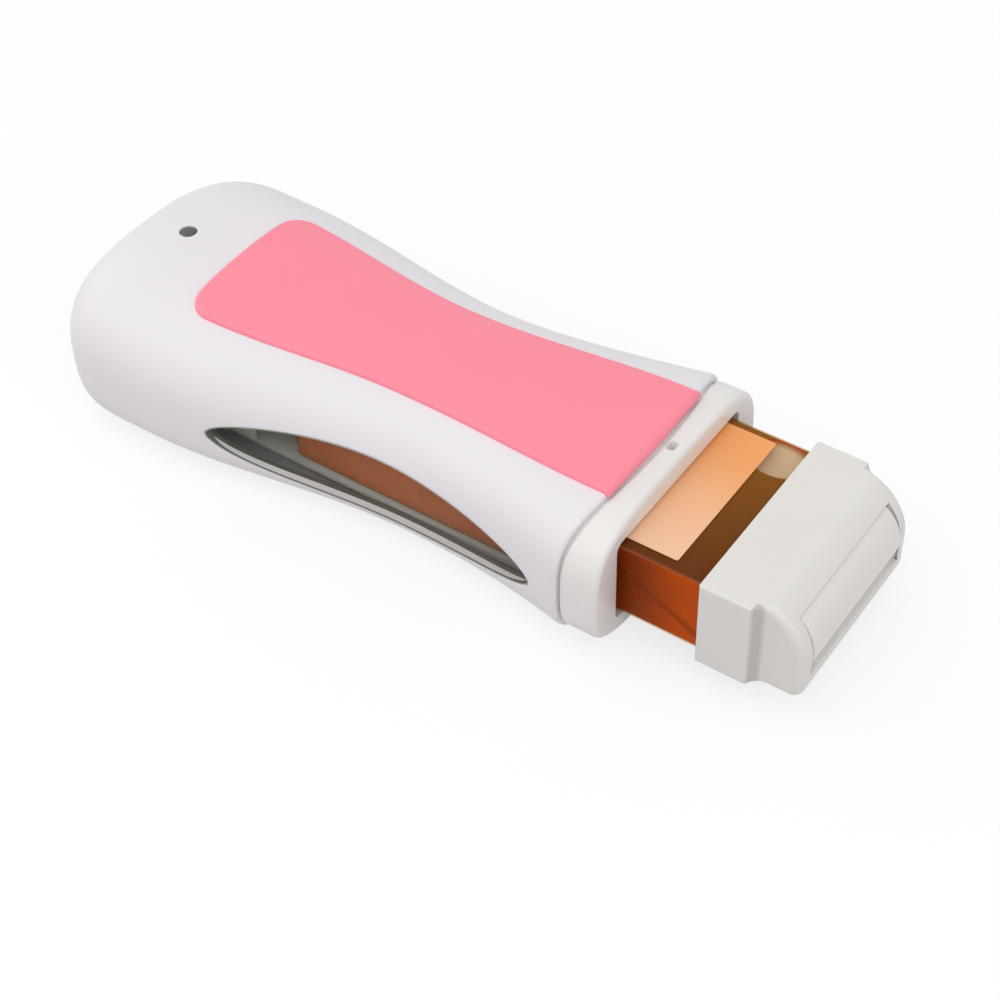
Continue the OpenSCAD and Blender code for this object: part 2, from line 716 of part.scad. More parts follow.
// The plate rests on a ledge round two openings, through which the sensors reach it.
ledge_x = 4;
ledge_y = 2;
cavity_x = [plate_x - plate_l / 2 + ledge_x, plate_x + plate_l / 2 - ledge_x];
cavity_y = [ptc_w / 2 + clamp_boss_r / 2, plate_w / 2 - ledge_y];
sensor_y = (cavity_y[0] + cavity_y[1]) / 2;
module chamber_lower() {
    color([0.9, 0.9, 0.88]) difference() {
        union() {
            difference() {
                intersection() {
                    collar();
                    lower_half();
                }
                mouth();
            }
            block(chamber_x - chamber_t, neck_x + eps, floor_w, floor_z - chamber_t, floor_z);
            block(chamber_x - chamber_t, chamber_x, floor_w, floor_z - eps, chamber_split_z);
            block(chamber_x - chamber_t, chamber_x, 2 * (cheek_y + cheek_t),
                floor_z + bottle_round, chamber_split_z);
            cheeks(floor_z + bottle_round, chamber_split_z);
            for (sx = [-1, 1])
                post(plate_x + sx * clamp_screw_x, 0, clamp_z + clamp_t, floor_z - chamber_t + eps,
                    clamp_boss_r);
        }
        block(plate_x - plate_l / 2 - seat, plate_x + plate_l / 2 + seat, plate_w + 2 * seat,
            plate_z, floor_z + over);
        for (sy = [-1, 1])
            translate([cavity_x[0], sy > 0 ? cavity_y[0] : -cavity_y[1], floor_z - chamber_t - over])
                cube([cavity_x[1] - cavity_x[0], cavity_y[1] - cavity_y[0], chamber_t + 2 * over]);
        block(plate_x - ptc_l / 2 - slip, plate_x + ptc_l / 2 + slip, ptc_w + 2 * slip,
            floor_z - chamber_t - over, floor_z + over);
        for (sx = [-1, 1])
            post(plate_x + sx * clamp_screw_x, 0, clamp_z, plate_z - seat, screw_r + seat / 2);
    }
}

// Heater stack below the bottle.
module heater_plate() {
    color([0.75, 0.76, 0.78])
        block(plate_x - plate_l / 2, plate_x + plate_l / 2, plate_w, plate_z, plate_top);
}
module ptc_heater() {
    color([0.8, 0.78, 0.72])
        block(plate_x - ptc_l / 2, plate_x + ptc_l / 2, ptc_w, plate_z - ptc_h, plate_z);
}
module heater_clamp() {
    color([0.7, 0.7, 0.72]) difference() {
        block(plate_x - clamp_screw_x - clamp_boss_r, plate_x + clamp_screw_x + clamp_boss_r, clamp_w,
            clamp_z, clamp_z + clamp_t);
        for (sx = [-1, 1])
            post(plate_x + sx * clamp_screw_x, 0, clamp_z - over, clamp_z + clamp_t + over, screw_r + seat);
    }
}
module screw(head_below, l) {
    mirror([0, 0, head_below ? 0 : 1]) difference() {
        union() {
            translate([0, 0, -screw_head_h]) cylinder(h = screw_head_h, r = screw_head_r);
            cylinder(h = l, r = screw_r);
        }
        for (a = [0, 90]) rotate([0, 0, a])
            translate([-screw_r, -screw_r / 4, -screw_head_h - eps])
                cube([2 * screw_r, screw_r / 2, screw_head_h / 2]);
    }
}
module heater_screws() {
    color([0.6, 0.6, 0.62]) for (sx = [-1, 1])
        translate([plate_x + sx * clamp_screw_x, 0, clamp_z]) screw(true, plate_z - clamp_z - 4 * seat);
}
module thermostat() {
    color([0.66, 0.66, 0.68])
        translate([plate_x - thermostat_l / 2, sensor_y - thermostat_w / 2, plate_z - thermostat_h])
        cube([thermostat_l, thermostat_w, thermostat_h]);
}
module thermal_fuse() {
    color([0.85, 0.8, 0.6]) translate([plate_x - fuse_l / 2, -sensor_y, plate_z - fuse_r - seat / 2])
        rotate([0, 90, 0]) cylinder(h = fuse_l, r = fuse_r);
}
spring_x = plate_x;
spring_steps = 12;
spring_bow = mouth_top_gap - label_t - slip - spring_t - seat;
module cartridge_spring() {
    top = axis_z + mouth_h / 2;
    function sag(u) = spring_bow * (1 - u * u);
    us = [for (i = [0 : spring_steps]) 2 * i / spring_steps - 1];
    color([0.72, 0.72, 0.74]) along_y(-spring_w / 2, spring_w / 2) polygon([
        for (u = us) [spring_x + u * spring_l / 2, top - seat / 2 - sag(u)],
        for (i = [0 : spring_steps]) let (u = us[spring_steps - i])
            [spring_x + u * spring_l / 2, top - seat / 2 - sag(u) - spring_t]
    ]);
}

// Indicator and its board, hung from two posts under the top.
lens_top = top_z(led_x, 0) - lens_sink;
lens_flange_r = led_hole_r + 1;
lens_flange_t = 1.2;
led_rim = 0.8;
lens_z = lens_top - lens_t;
board_z = lens_z - seat - led_h - board_t;
board_x = led_x + 2;
board_hole_in = 4;
board_post_x = board_x + board_l / 2 - board_hole_in;
board_post_y = board_w / 2 - board_hole_in;
board_post_r = 2.6;
board_bite = 3;
board_post_top = top_z(board_post_x, board_post_y + board_post_r) - shell_t / 3;
module led_lens() {
    color([0.12, 0.12, 0.13]) union() {
        post(led_x, 0, lens_z, lens_top, led_hole_r - seat);
        post(led_x, 0, lens_z, lens_z + lens_flange_t - slip, lens_flange_r);
    }
}
module indicator_led() {
    color([0.8, 0.1, 0.1]) union() {
        post(led_x, 0, board_z + board_t, board_z + board_t + led_h - led_r, led_r);
        post(led_x, 0, board_z + board_t, board_z + board_t + led_rim, led_r + led_rim / 2);
        translate([led_x, 0, board_z + board_t + led_h - led_r]) sphere(led_r - eps);
    }
}
module circuit_board() {
    color([0.1, 0.4, 0.2]) difference() {
        block(board_x - board_l / 2, board_x + board_l / 2, board_w, board_z, board_z + board_t);
        for (sy = [-1, 1])
            post(board_post_x, sy * board_post_y, board_z - over, board_z + board_t + over, screw_r + seat);
    }
}
module board_screws() {
    color([0.6, 0.6, 0.62]) for (sy = [-1, 1])
        translate([board_post_x, sy * board_post_y, board_z]) screw(true, board_t + board_bite);
}

// Mains inlet with two pins, let into the rear end between the shells.
inlet_in = 0.4;
inlet_face = rear_x + inlet_in;
inlet_reach = 3;
inlet_round = 3;
inlet_flange_t = 1.4;
inlet_flange_out = 1.2;
inlet_flange_x = rear_x + shell_t + 1;
socket_waist = 1.56;
module inlet_body(grow, x0, x1) {
    translate([0, 0, inlet_z]) along_x(inlet_face + x0, inlet_face + x1)
        round_rect(inlet_w + 2 * grow, inlet_h + 2 * grow, inlet_round);
}
module power_inlet() {
    floor_x = inlet_face + socket_d;
    color([0.15, 0.15, 0.16]) difference() {
        union() {
            inlet_body(0, 0, inlet_l);
            translate([0, 0, inlet_z]) along_x(inlet_flange_x, inlet_flange_x + inlet_flange_t)
                round_rect(inlet_w + 2 * inlet_flange_out, inlet_h + 2 * inlet_flange_out, inlet_round);
        }
        translate([0, 0, inlet_z]) {
            for (sy = [-1, 1]) translate([inlet_face - over, sy * pin_pitch / 2, 0])
                rotate([0, 90, 0]) cylinder(h = socket_d + over, r = socket_r);
            along_x(inlet_face - over, floor_x) square([pin_pitch, socket_waist * socket_r], center = true);
            for (sy = [-1, 1]) translate([floor_x - over, sy * pin_pitch / 2, 0])
                rotate([0, 90, 0]) cylinder(h = inlet_l, r = pin_r + seat / 2);
        }
    }
}
pin_tail = 4;
pin_end = inlet_face + inlet_l + pin_tail;
module inlet_pins() {
    color([0.8, 0.65, 0.3]) for (sy = [-1, 1])
        translate([inlet_face + pin_sink, sy * pin_pitch / 2, inlet_z])
            rotate([0, 90, 0]) cylinder(h = pin_end - inlet_face - pin_sink, r = pin_r);
}

// Leads: from the pins down under the chamber to the fuse and the thermostat, and up to the board.
lead_lift = 1.4;
lead_bend = 3;
lead_z = shell_t + wire_r + lead_lift;
under_x = chamber_x - 4 * lead_bend;
module heater_wires() {
    sensor_z = plate_z - fuse_r;
    color([0.75, 0.2, 0.15]) for (sy = [-1, 1]) {
        y0 = sy * pin_pitch / 2;
        y1 = sy * sensor_y;
        end = plate_x - (sy < 0 ? fuse_l : thermostat_l) / 2 - 2 * seat;
        tube([[pin_end + seat, y0, inlet_z], [pin_end + 2 * lead_bend, y0, inlet_z],
            [pin_end + 3 * lead_bend, y0, inlet_z - lead_bend],
            [under_x - lead_bend, y0 + sy * lead_bend / 2, lead_z + lead_bend],
            [under_x + lead_bend, y1, lead_z],
            [cavity_x[0] - lead_bend, y1, lead_z], [cavity_x[0] + 2 * lead_bend, y1, sensor_z - 2 * slip],
            [end - lead_bend, y1, sensor_z], [end, y1, sensor_z]], wire_r);
    }
}
module board_wires() {
    color([0.15, 0.15, 0.5]) for (sy = [-1, 1])
        tube([[pin_end - pin_tail / 2, sy * pin_pitch / 2, inlet_z + pin_r + wire_r / 2 + seat],
            [pin_end - pin_tail / 2, sy * pin_pitch / 2, inlet_z + lead_bend],
            [pin_end - pin_tail, sy * (pin_pitch / 2 - over), board_z - lead_bend],
            [pin_end - pin_tail, sy * (pin_pitch / 2 - over), board_z - seat]], wire_r / 2);
}
module shell_screws() {
    color([0.6, 0.6, 0.62]) at_shell_screws() translate([0, 0, head_seat_z])
        screw(true, shell_screw_l - screw_head_h);
}

// Cartridge.
label_x = head_x - label_from_head - label_l;
module bottle_section(d) {
    translate([0, axis_z]) round_rect(bottle_w - 2 * d, bottle_h - 2 * d, bottle_round - d);
}
module cartridge_bottle() {
    color([0.5, 0.25, 0.08, 0.6]) difference() {
        union() {
            along_x(bottle_x, head_x) bottle_section(0);
            along_x(head_x - eps, head_x + neck_l)
                translate([0, axis_z]) square([neck_w, neck_h], center = true);
        }
        along_x(bottle_x + bottle_t, head_x - bottle_t) bottle_section(bottle_t);
        along_x(head_x - bottle_t - over, head_x + neck_l + over)
            translate([0, axis_z]) square([slot_w, slot_h], center = true);
    }
}
module wax_fill() {
    color([0.45, 0.22, 0.1]) difference() {
        along_x(bottle_x + bottle_t + seat, head_x - bottle_t - seat) bottle_section(bottle_t + seat);
        translate([head_x - bottle_t - bubble_r, bottle_w / 2 - bottle_t - bubble_r,
            axis_z + bottle_h / 2 - bottle_t + bubble_r / 4]) sphere(bubble_r);
    }
}
module cartridge_label() {
    color([0.95, 0.7, 0.5]) block(label_x, label_x + label_l, label_w,
        axis_z + bottle_h / 2, axis_z + bottle_h / 2 + label_t);
}

// Head: the plan outline and the side profile are cut out of one another.
roller_x = head_x + head_l + roller_proud - roller_r;
roller_z = axis_z - roller_drop;
module head_plan() {
    arm_y = head_w / 2 - arm_step;
    curve_r = (step_l * step_l + arm_step * arm_step) / (2 * arm_step);
    difference() {
        union() {
            translate([head_x, -head_w / 2]) square([block_l + step_l, head_w]);
            translate([head_x, -arm_y]) square([head_l, 2 * arm_y]);
        }
        for (sy = [-1, 1])
            translate([head_x + block_l + step_l, sy * (arm_y + curve_r)]) circle(curve_r);
    }
}
module head_profile() {
    nose_x = head_x + head_l - nose_r;
    corner_x = head_x + head_l - nose_corner;
    bottom = axis_z - head_h / 2;
    intersection() {
        translate([head_x, bottom]) square([head_l, head_h]);
        union() {
            translate([head_x, bottom]) square([head_l - nose_r, head_h]);
            translate([nose_x - eps, bottom]) square([nose_r - nose_corner + eps, head_h / 2 - nose_drop]);
            translate([nose_x - eps, bottom + nose_corner])
                square([nose_r + eps, head_h / 2 - nose_drop - nose_corner]);
            translate([nose_x, axis_z - nose_drop]) circle(nose_r);
            translate([corner_x, bottom + nose_corner]) circle(nose_corner);
        }
    }
}
module roller_frame() {
    cavity_w = roller_l + 2 * slip;
    color([0.9, 0.9, 0.88]) difference() {
        intersection() {
            translate([0, 0, axis_z - head_h]) linear_extrude(2 * head_h) head_plan();
            along_y(-head_w, head_w) head_profile();
        }
        along_y(-cavity_w / 2, cavity_w / 2) translate([roller_x, roller_z]) circle(roller_r + roller_gap);
        block(head_x + head_l - upper_lip_back, head_x + head_l + over, cavity_w,
            roller_z - lower_lip_drop, axis_z + head_h);
        along_y(-cavity_w / 2 - trunnion_l - slip, cavity_w / 2 + trunnion_l + slip)
            translate([roller_x, roller_z]) circle(trunnion_r + trunnion_gap);
        along_x(head_x - over, head_x + neck_l + seat)
            translate([0, axis_z]) square([neck_w + 2 * seat, neck_h + 2 * seat], center = true);
        along_x(head_x, roller_x) translate([0, axis_z]) square([slot_w, slot_h], center = true);
    }
}
module roller() {
    color([0.92, 0.92, 0.9]) translate([roller_x, 0, roller_z]) rotate([90, 0, 0]) union() {
        cylinder(h = roller_l, r = roller_r, center = true);
        cylinder(h = roller_l + 2 * (slip + trunnion_l), r = trunnion_r, center = true);
    }
}

upper_shell();
lower_shell();
top_panel();
window_left();
window_right();
chamber_upper();
chamber_lower();
heater_plate();
ptc_heater();
heater_clamp();
heater_screws();
thermostat();
thermal_fuse();
cartridge_spring();
circuit_board();
board_screws();
indicator_led();
led_lens();
power_inlet();
inlet_pins();
heater_wires();
board_wires();
shell_screws();
cartridge_bottle();
wax_fill();
cartridge_label();
roller_frame();
roller();
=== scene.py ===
"""Looks of the roll-on wax heater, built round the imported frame.

Lengths are in millimetres until a mesh is made. X runs from the rear of the housing to the roller,
Y across, and Z up from the surface that the heater lies on.
"""

import math

import bmesh
import bpy
import numpy as np
from mathutils import Matrix, Vector

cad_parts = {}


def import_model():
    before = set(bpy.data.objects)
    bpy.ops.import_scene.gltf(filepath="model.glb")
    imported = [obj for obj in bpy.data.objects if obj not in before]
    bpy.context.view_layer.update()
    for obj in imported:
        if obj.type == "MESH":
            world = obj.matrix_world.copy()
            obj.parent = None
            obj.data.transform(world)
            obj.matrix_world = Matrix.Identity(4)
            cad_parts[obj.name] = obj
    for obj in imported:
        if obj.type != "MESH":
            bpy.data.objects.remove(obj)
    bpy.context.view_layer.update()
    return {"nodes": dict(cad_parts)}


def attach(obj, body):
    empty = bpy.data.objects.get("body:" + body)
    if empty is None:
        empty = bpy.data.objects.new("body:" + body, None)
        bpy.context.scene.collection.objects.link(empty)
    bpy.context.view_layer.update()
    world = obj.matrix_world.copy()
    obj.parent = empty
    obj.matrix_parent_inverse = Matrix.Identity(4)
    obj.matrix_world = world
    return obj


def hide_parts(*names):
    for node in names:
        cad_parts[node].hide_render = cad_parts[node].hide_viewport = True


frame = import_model()
MM = 0.001

# ------- sizes, as in the part
# Cartridge: bottle, axis height and how far it is drawn out at rest.
BOTTLE_X, BOTTLE_W, BOTTLE_H = -9.6, 50.4, 22.0
BOTTLE_ROUND, BOTTLE_END_R, BOTTLE_SEAT = 1.6, 1.4, 0.6
AXIS_Z, SLIDE_HOME = 20.5, 20.5

# Housing: ends, widths and heights along it, and the thickness of its shells.
REAR_X, FRONT_X, MOUTH_X = -84.6, 78.4, 84.6
SPLIT, SHELL_T = 17.5, 1.8
REAR_W, WAIST_W, FRONT_W = 77.0, 60.0, 75.0
WIDEST_X, WAIST_X, LOW_X, HIGH_X = REAR_X + 36, REAR_X + 110, REAR_X + 93, REAR_X + 5
FLARE = 1.9
FRONT_SWEEP, SWEEP_L = 4.2, 32.0
FRONT_RISE, RISE_L, FLAT_CUT = 1.0, 60.0, 0.4
TOP_ROUND, BOTTOM_ROUND = (2.8, 3.7), (3.65, 3.2)

# Round rear end; its skin stays a little inside the solid's.
REAR_ROUND, ROUND_END, REAR_EASE = 27.0, 2.6, 0.12
CLOSE_X = REAR_X + REAR_ROUND

# Edges of a shell half: at the front, at the window and at the seam.
FRONT_EDGE_R, WINDOW_EDGE_R, SEAM_EDGE_R = 1.0, 0.32, 0.04

# Chamber round the bottle.
MOUTH_SIDE_GAP, MOUTH_TOP_GAP, REAR_GAP, CHEEK_GAP = 1.5, 1.0, 0.5, 0.5
WALL, CHEEK_T, CHEEK_L, CHEEK_TOP = 1.6, 1.2, 9.0, 26.0
ROOF_HALF_W, FLOOR_HALF_W = 18.0, 25.0
FLOOR_Z = AXIS_Z - BOTTLE_H / 2 - MOUTH_TOP_GAP
ROOF_Z = AXIS_Z + BOTTLE_H / 2 + MOUTH_TOP_GAP + WALL
CHAMBER_X = BOTTLE_X - SLIDE_HOME - REAR_GAP
CHEEK_Y = BOTTLE_W / 2 + CHEEK_GAP
CHAMBER_SPLIT, SLEEVE_X = 19.0, FRONT_X - 8
MOUTH_W, MOUTH_H = BOTTLE_W + 2 * MOUTH_SIDE_GAP, BOTTLE_H + 2 * MOUTH_TOP_GAP
MOUTH_CORNER, MOUTH_LIP_R, MOUTH_DEPTH = 2.1, 0.35, 4.0
SLEEVE_GAP, SLEEVE_LAP = 0.1, 0.3

# Heights over the housing: rear, above the chamber, front.
LOW_GAP = 2.8
REAR_H, LOW_H, FRONT_H = 41.6, ROOF_Z + LOW_GAP + SHELL_T, 39.8

# Collar round the mouth, and the slot in its top.
COLLAR_W, COLLAR_TOP, COLLAR_BOTTOM = 71.6, 38.8, 2.0
COLLAR_FRONT_R, COLLAR_BACK_R, COLLAR_GAP, SEAM_GAP = 1.5, 0.7, 0.8, 0.03
SLOT_X, SLOT_Y, SLOT_L, SLOT_W, SLOT_CORNER, SLOT_DEPTH = MOUTH_X - 3.6, 1.9, 2.0, 2.8, 0.5, 2.6

# Lamp lens, inlet and the wells of the screws in the underside.
LED_X, LED_HOLE_R, LED_FLARE, LED_HOLE_DEPTH = REAR_X + 23.7, 2.3, 0.3, 6.0
LENS_R, LENS_SUNK, LENS_DOME, LENS_DEPTH = 2.24, 0.3, 0.25, 3.2
INLET_W, INLET_H, INLET_CORNER, INLET_Z, INLET_FIT, INLET_DEPTH = 19.4, 11.2, 3.0, 19.5, 0.1, 3.4
SCREW_WELLS = [(CLOSE_X - 6, 20.0), (-41.2, 27.0)]
WELL_R, WELL_DEPTH = 2.6, 6.3

# Top panel, with the lip at its front.
PANEL_X, PANEL_END, PANEL_WAIST_X = REAR_X + 41.2, FRONT_X + 0.15, REAR_X + 102
PANEL_REAR_W, PANEL_WAIST_W, PANEL_FRONT_W = 44.0, 33.2, 39.8
PANEL_CORNER, PANEL_BOW, PANEL_PROUD, PANEL_SUNK = 6.0, 0.6, 1.1, 0.7
PANEL_SIDE_R, PANEL_FRONT_R = 0.95, 1.4
LIP_X, LIP_SWEEP, LIP_ARCH, LIP_GAP = FRONT_X - 0.49, 0.6, 0.85, 0.12

# Windows in the flanks and the panes in them.
WIN_X, WIN_L, WIN_RISE, WIN_DROP, WIN_TIP, WIN_POWER = REAR_X + 103.3, 94.0, 10.3, 8.9, 16.6, 0.57
PANE_GAP, PANE_EDGE_R, PANE_SUNK, LINING_L = 0.15, 0.3, 0.02, 1.3

# Head of the cartridge, seen from its rear face, and the roller in it.
HEAD_X = MOUTH_X + 0.3 + SLIDE_HOME
HEAD_L, HEAD_H, HEAD_W = 25.5, 25.0, 54.0
BLOCK_L, STEP_L, ARM_Y, INNER_Y = 12.8, 3.6, 24.6, 20.7
NOSE_R, NOSE_DROP, NOSE_CORNER = 14.4, 0.8, 3.2
BLOCK_EDGE_R, ARM_EDGE_R, INNER_EDGE_R, REAR_EDGE_R = 0.6, 1.9, 0.7, 0.25
ROLLER_X, ROLLER_Z, ROLLER_R, ROLLER_GAP = 15.3, -0.05, 10.6, 0.3
ROLLER_HALF_L, ROLLER_EDGE_R, PIN_R, PIN_END = 20.4, 0.8, 2.5, 22.9
LIP_BACK, CRADLE_LOW = 4.2, 7.0

# Wax and its air bubble, and the label on the bottle.
WAX_INSET, WAX_REAR, WAX_FRONT, WAX_ROUND, WAX_END_R = 0.25, 0.4, 0.3, 1.4, 1.2
BUBBLE_X, BUBBLE_Y, BUBBLE_Z = HEAD_X - 5.5, 18.4, AXIS_Z + 10.9
BUBBLE_RADII = np.array([8.0, 6.0, 2.4])
LABEL_L, LABEL_W, LABEL_CORNER, LABEL_T, LABEL_BACK = 84.0, 44.2, 0.5, 0.15, 8.2

QUARTER = np.radians([0, 22, 45, 68, 90])


# ------- curves
def ease(t):
    """A cosine step from 0 to 1."""
    return (1 - np.cos(np.pi * np.clip(t, 0, 1))) / 2


def smoothstep(t):
    t = np.clip(t, 0, 1)
    return t * t * (3 - 2 * t)


def mix(a, b, t):
    return a + (b - a) * t


def power(v, e):
    """v to the power e, with negative values taken as 0."""
    return np.power(np.maximum(v, 0), e)


def signed(v, e):
    """The size of v to the power e, with the sign of v."""
    return np.sign(v) * np.power(np.abs(v), e)


def run_along(points):
    """Distance run at each point of a line."""
    return np.concatenate([[0], np.cumsum(np.linalg.norm(np.diff(points, axis=0), axis=1))])


# ------- the housing's outer surface
def half_w(x):
    waist = mix(REAR_W, WAIST_W, ease((x - WIDEST_X) / (WAIST_X - WIDEST_X))) / 2
    front = mix(WAIST_W, FRONT_W, power((x - WAIST_X) / (FRONT_X - WAIST_X), FLARE)) / 2
    return np.where(x < WAIST_X, waist, front)


def top_h(x):
    """Height above the split."""
    rear = mix(REAR_H, LOW_H, ease((x - HIGH_X) / (LOW_X - HIGH_X)))
    front = mix(LOW_H, FRONT_H, ease((x - LOW_X) / (FRONT_X - LOW_X)))
    return np.where(x < LOW_X, rear, front) - SPLIT


def bottom_h(x):
    """Depth below the split, before the flat of the underside."""
    return SPLIT + FLAT_CUT - (FRONT_RISE + FLAT_CUT) * power((x - FRONT_X + RISE_L) / RISE_L, 2)


def roundness(x, upper):
    """Exponent of the section's superellipse."""
    rear, front = TOP_ROUND if upper else BOTTOM_ROUND
    return mix(rear, front, ease((x - LOW_X) / (FRONT_X - LOW_X)))


def swept(x):
    """How far the section at x sweeps back at the flanks."""
    return FRONT_SWEEP * ease((x - FRONT_X + SWEEP_L) / SWEEP_L)


def closed(x, d):
    """How much the round rear end closes the section, 1 for not at all."""
    s = power(1 - power((CLOSE_X - x) / (REAR_ROUND - d), ROUND_END), 1 / ROUND_END)
    return np.where(x >= CLOSE_X, 1.0, s)


def top_z(x, y):
    """Height of the outer surface."""
    s, n = closed(x, 0), roundness(x, True)
    return SPLIT + top_h(x) * s * power(1 - power(np.abs(y) / (half_w(x) * s), n), 1 / n)


def side_y(x, z, d):
    """Half-width at the height z, inset by d."""
    above = z > SPLIT
    n = np.where(above, roundness(x, True), roundness(x, False))
    h = np.where(above, top_h(x), bottom_h(x)) - d
    s = closed(x, d)
    return (half_w(x) - d) * s * power(1 - power(np.abs(z - SPLIT) / (h * s), n), 1 / n)


def shell_point(upper, x0, sweep, s, a, d):
    """Points of a half's section at angle a, inset by d: an array with x, y and z last."""
    x = x0 - sweep * power(np.abs(np.cos(a)), 4 / roundness(x0, upper))
    n = roundness(x, upper)
    y = (half_w(x) - d) * s * signed(np.cos(a), 2 / n)
    h = (top_h(x) if upper else bottom_h(x)) - d
    rise = h * s * power(np.sin(a), 2 / n)
    z = SPLIT + rise if upper else np.maximum(d, SPLIT - rise)
    return np.stack(np.broadcast_arrays(x, y, z), -1)


# ------- meshes
def outline(grid):
    """The border of a grid, of points or of ids, as one closed loop."""
    return np.concatenate([grid[0, :-1], grid[:-1, -1], grid[-1, :0:-1], grid[:0:-1, 0]])


class Shape:
    """Collects points and faces of one piece."""

    def __init__(self):
        self.verts, self.faces, self.count = [], [], 0

    def add(self, points):
        """Adds points and returns their ids."""
        ids = self.count + np.arange(len(points))
        self.verts.append(points)
        self.count += len(points)
        return ids

    def grid(self, points, wrap=False):
        """Adds a grid of points [i, j] with its quads; wrap joins the last j to the first."""
        p = np.asarray(points, float)
        ids = self.add(p.reshape(-1, 3)).reshape(p.shape[:2])
        right = np.roll(ids, -1, axis=1) if wrap else ids[:, 1:]
        left = ids if wrap else ids[:, :-1]
        quads = np.stack([left[:-1], right[:-1], right[1:], left[1:]], -1).reshape(-1, 4)
        self.faces.extend(quads.tolist())
        return ids

    def strip(self, a, b, wrap=True):
        """Joins two rows of ids."""
        for k in range(len(a) if wrap else len(a) - 1):
            q = (k + 1) % len(a)
            self.faces.append([int(a[k]), int(a[q]), int(b[q]), int(b[k])])

    def loft(self, rings):
        """Closed rings one behind the other, with a cap at each end."""
        ids = self.grid(rings, wrap=True)
        self.faces.append(ids[0].tolist())
        self.faces.append(ids[-1][::-1].tolist())

    def pillow(self, grids):
        """A closed form: the first and the last grid whole, the others by their outlines."""
        row = outline(self.grid(grids[0]))
        for points in grids[1:-1]:
            ring = self.add(outline(points))
            self.strip(row, ring)
            row = ring
        self.strip(row, outline(self.grid(grids[-1])))

    def box(self, x0, x1, y0, y1, z0, z1):
        corners = [(x, y, z) for x in (x0, x1) for y in (y0, y1) for z in (z0, z1)]
        ids = self.add(np.array(corners, float))
        for side in ((0, 1, 3, 2), (4, 6, 7, 5), (0, 4, 5, 1), (2, 3, 7, 6), (0, 2, 6, 4), (1, 5, 7, 3)):
            self.faces.append([int(ids[i]) for i in side])

    def mesh(self, name, merge):
        """The mesh in metres, normals outward; merge joins the points that meet."""
        mesh = bpy.data.meshes.new(name)
        mesh.from_pydata((np.concatenate(self.verts) * MM).tolist(), [], self.faces)
        if merge:
            mesh.validate()
        bm = bmesh.new()
        bm.from_mesh(mesh)
        if merge:
            bmesh.ops.remove_doubles(bm, verts=bm.verts, dist=1e-7)
        bmesh.ops.recalc_face_normals(bm, faces=bm.faces)
        bm.to_mesh(mesh)
        bm.free()
        return mesh

    def piece(self, name, mat, body, slot, replaces, smooth=True):
        """One piece of the scene, which rides on the body and stands in for CAD nodes."""
        obj = linked(name, self.mesh(name, True), smooth)
        obj.data.materials.append(mat)
        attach(obj, body)
        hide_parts(*replaces)
        return obj

    def cutter(self):
        """A mesh for a boolean cut, which cut() removes."""
        return linked("cutter", self.mesh("cutter", False), True)


def linked(name, mesh, smooth):
    """An object of the mesh, in the scene."""
    for polygon in mesh.polygons:
        polygon.use_smooth = smooth
    obj = bpy.data.objects.new(name, mesh)
    bpy.context.scene.collection.objects.link(obj)
    return obj


def cut(obj, *tools):
    """Cuts the tools out of obj, one after the other."""
    for tool in tools:
        mod = obj.modifiers.new("cut", "BOOLEAN")
        mod.operation, mod.solver, mod.object = "DIFFERENCE", "EXACT", tool
        depsgraph = bpy.context.evaluated_depsgraph_get()
        done = bpy.data.meshes.new_from_object(obj.evaluated_get(depsgraph))
        obj.modifiers.clear()
        old, obj.data = obj.data, done
        bpy.data.meshes.remove(old)
    for tool in tools:
        bpy.data.meshes.remove(tool.data)


def sharpen(obj, degrees):
    """Smooth shading that stops at edges sharper than the angle."""
    obj.data.set_sharp_from_angle(angle=math.radians(degrees))


def lathe(profile, steps, axis="z", centre=(0, 0, 0)):
    """Rings of a turned piece from (radius, height) pairs."""
    t = np.linspace(0, 2 * np.pi, steps, endpoint=False)
    rings = []
    for r, h in profile:
        c, s, k = r * np.cos(t), r * np.sin(t), np.full(steps, float(h))
        xyz = (c, s, k) if axis == "z" else (c, k, s)
        rings.append(np.stack(xyz, -1) + np.array(centre))
    return rings


def rounded_rect(w, h, r, n=10, per_side=1):
    """Points of a rounded rectangle, counter-clockwise from the right-hand side's upper end."""
    corners = []
    for k, (cx, cy) in enumerate(((1, 1), (-1, 1), (-1, -1), (1, -1))):
        for i in range(n + 1):
            a = math.pi / 2 * (k + i / n)
            corners.append((cx * (w / 2 - r) + r * math.cos(a), cy * (h / 2 - r) + r * math.sin(a)))
    out = []
    for i, p in enumerate(corners):
        q = corners[(i + 1) % len(corners)]
        steps = per_side if (i + 1) % (n + 1) == 0 else 1
        out.extend((mix(p[0], q[0], j / steps), mix(p[1], q[1], j / steps)) for j in range(steps))
    return np.array(out)


def lying(ring, z):
    """A flat ring at the height z."""
    return np.column_stack([ring[:, 0], ring[:, 1], np.full(len(ring), z)])


def standing(ring, x, z):
    """A flat ring stood up across the station x, with its middle at the height z."""
    return np.column_stack([np.full(len(ring), x), ring[:, 0], ring[:, 1] + z])


# ------- shader nodes
def linear(c):
    """Linear values of an sRGB colour given from 0 to 255."""
    shares = (x / 255 for x in c)
    return tuple(v / 12.92 if v <= 0.04045 else ((v + 0.055) / 1.055) ** 2.4 for v in shares)


def node(nt, kind, **inputs):
    """A new node; each keyword sets a socket of that name, or else a property."""
    n = nt.nodes.new(kind)
    for key, value in inputs.items():
        if key in n.inputs:
            n.inputs[key].default_value = value
        else:
            setattr(n, key, value)
    return n


def feed(nt, socket, value):
    """Links an output to the socket, or sets the socket to a plain value."""
    if isinstance(value, bpy.types.NodeSocket):
        nt.links.new(value, socket)
    else:
        socket.default_value = value


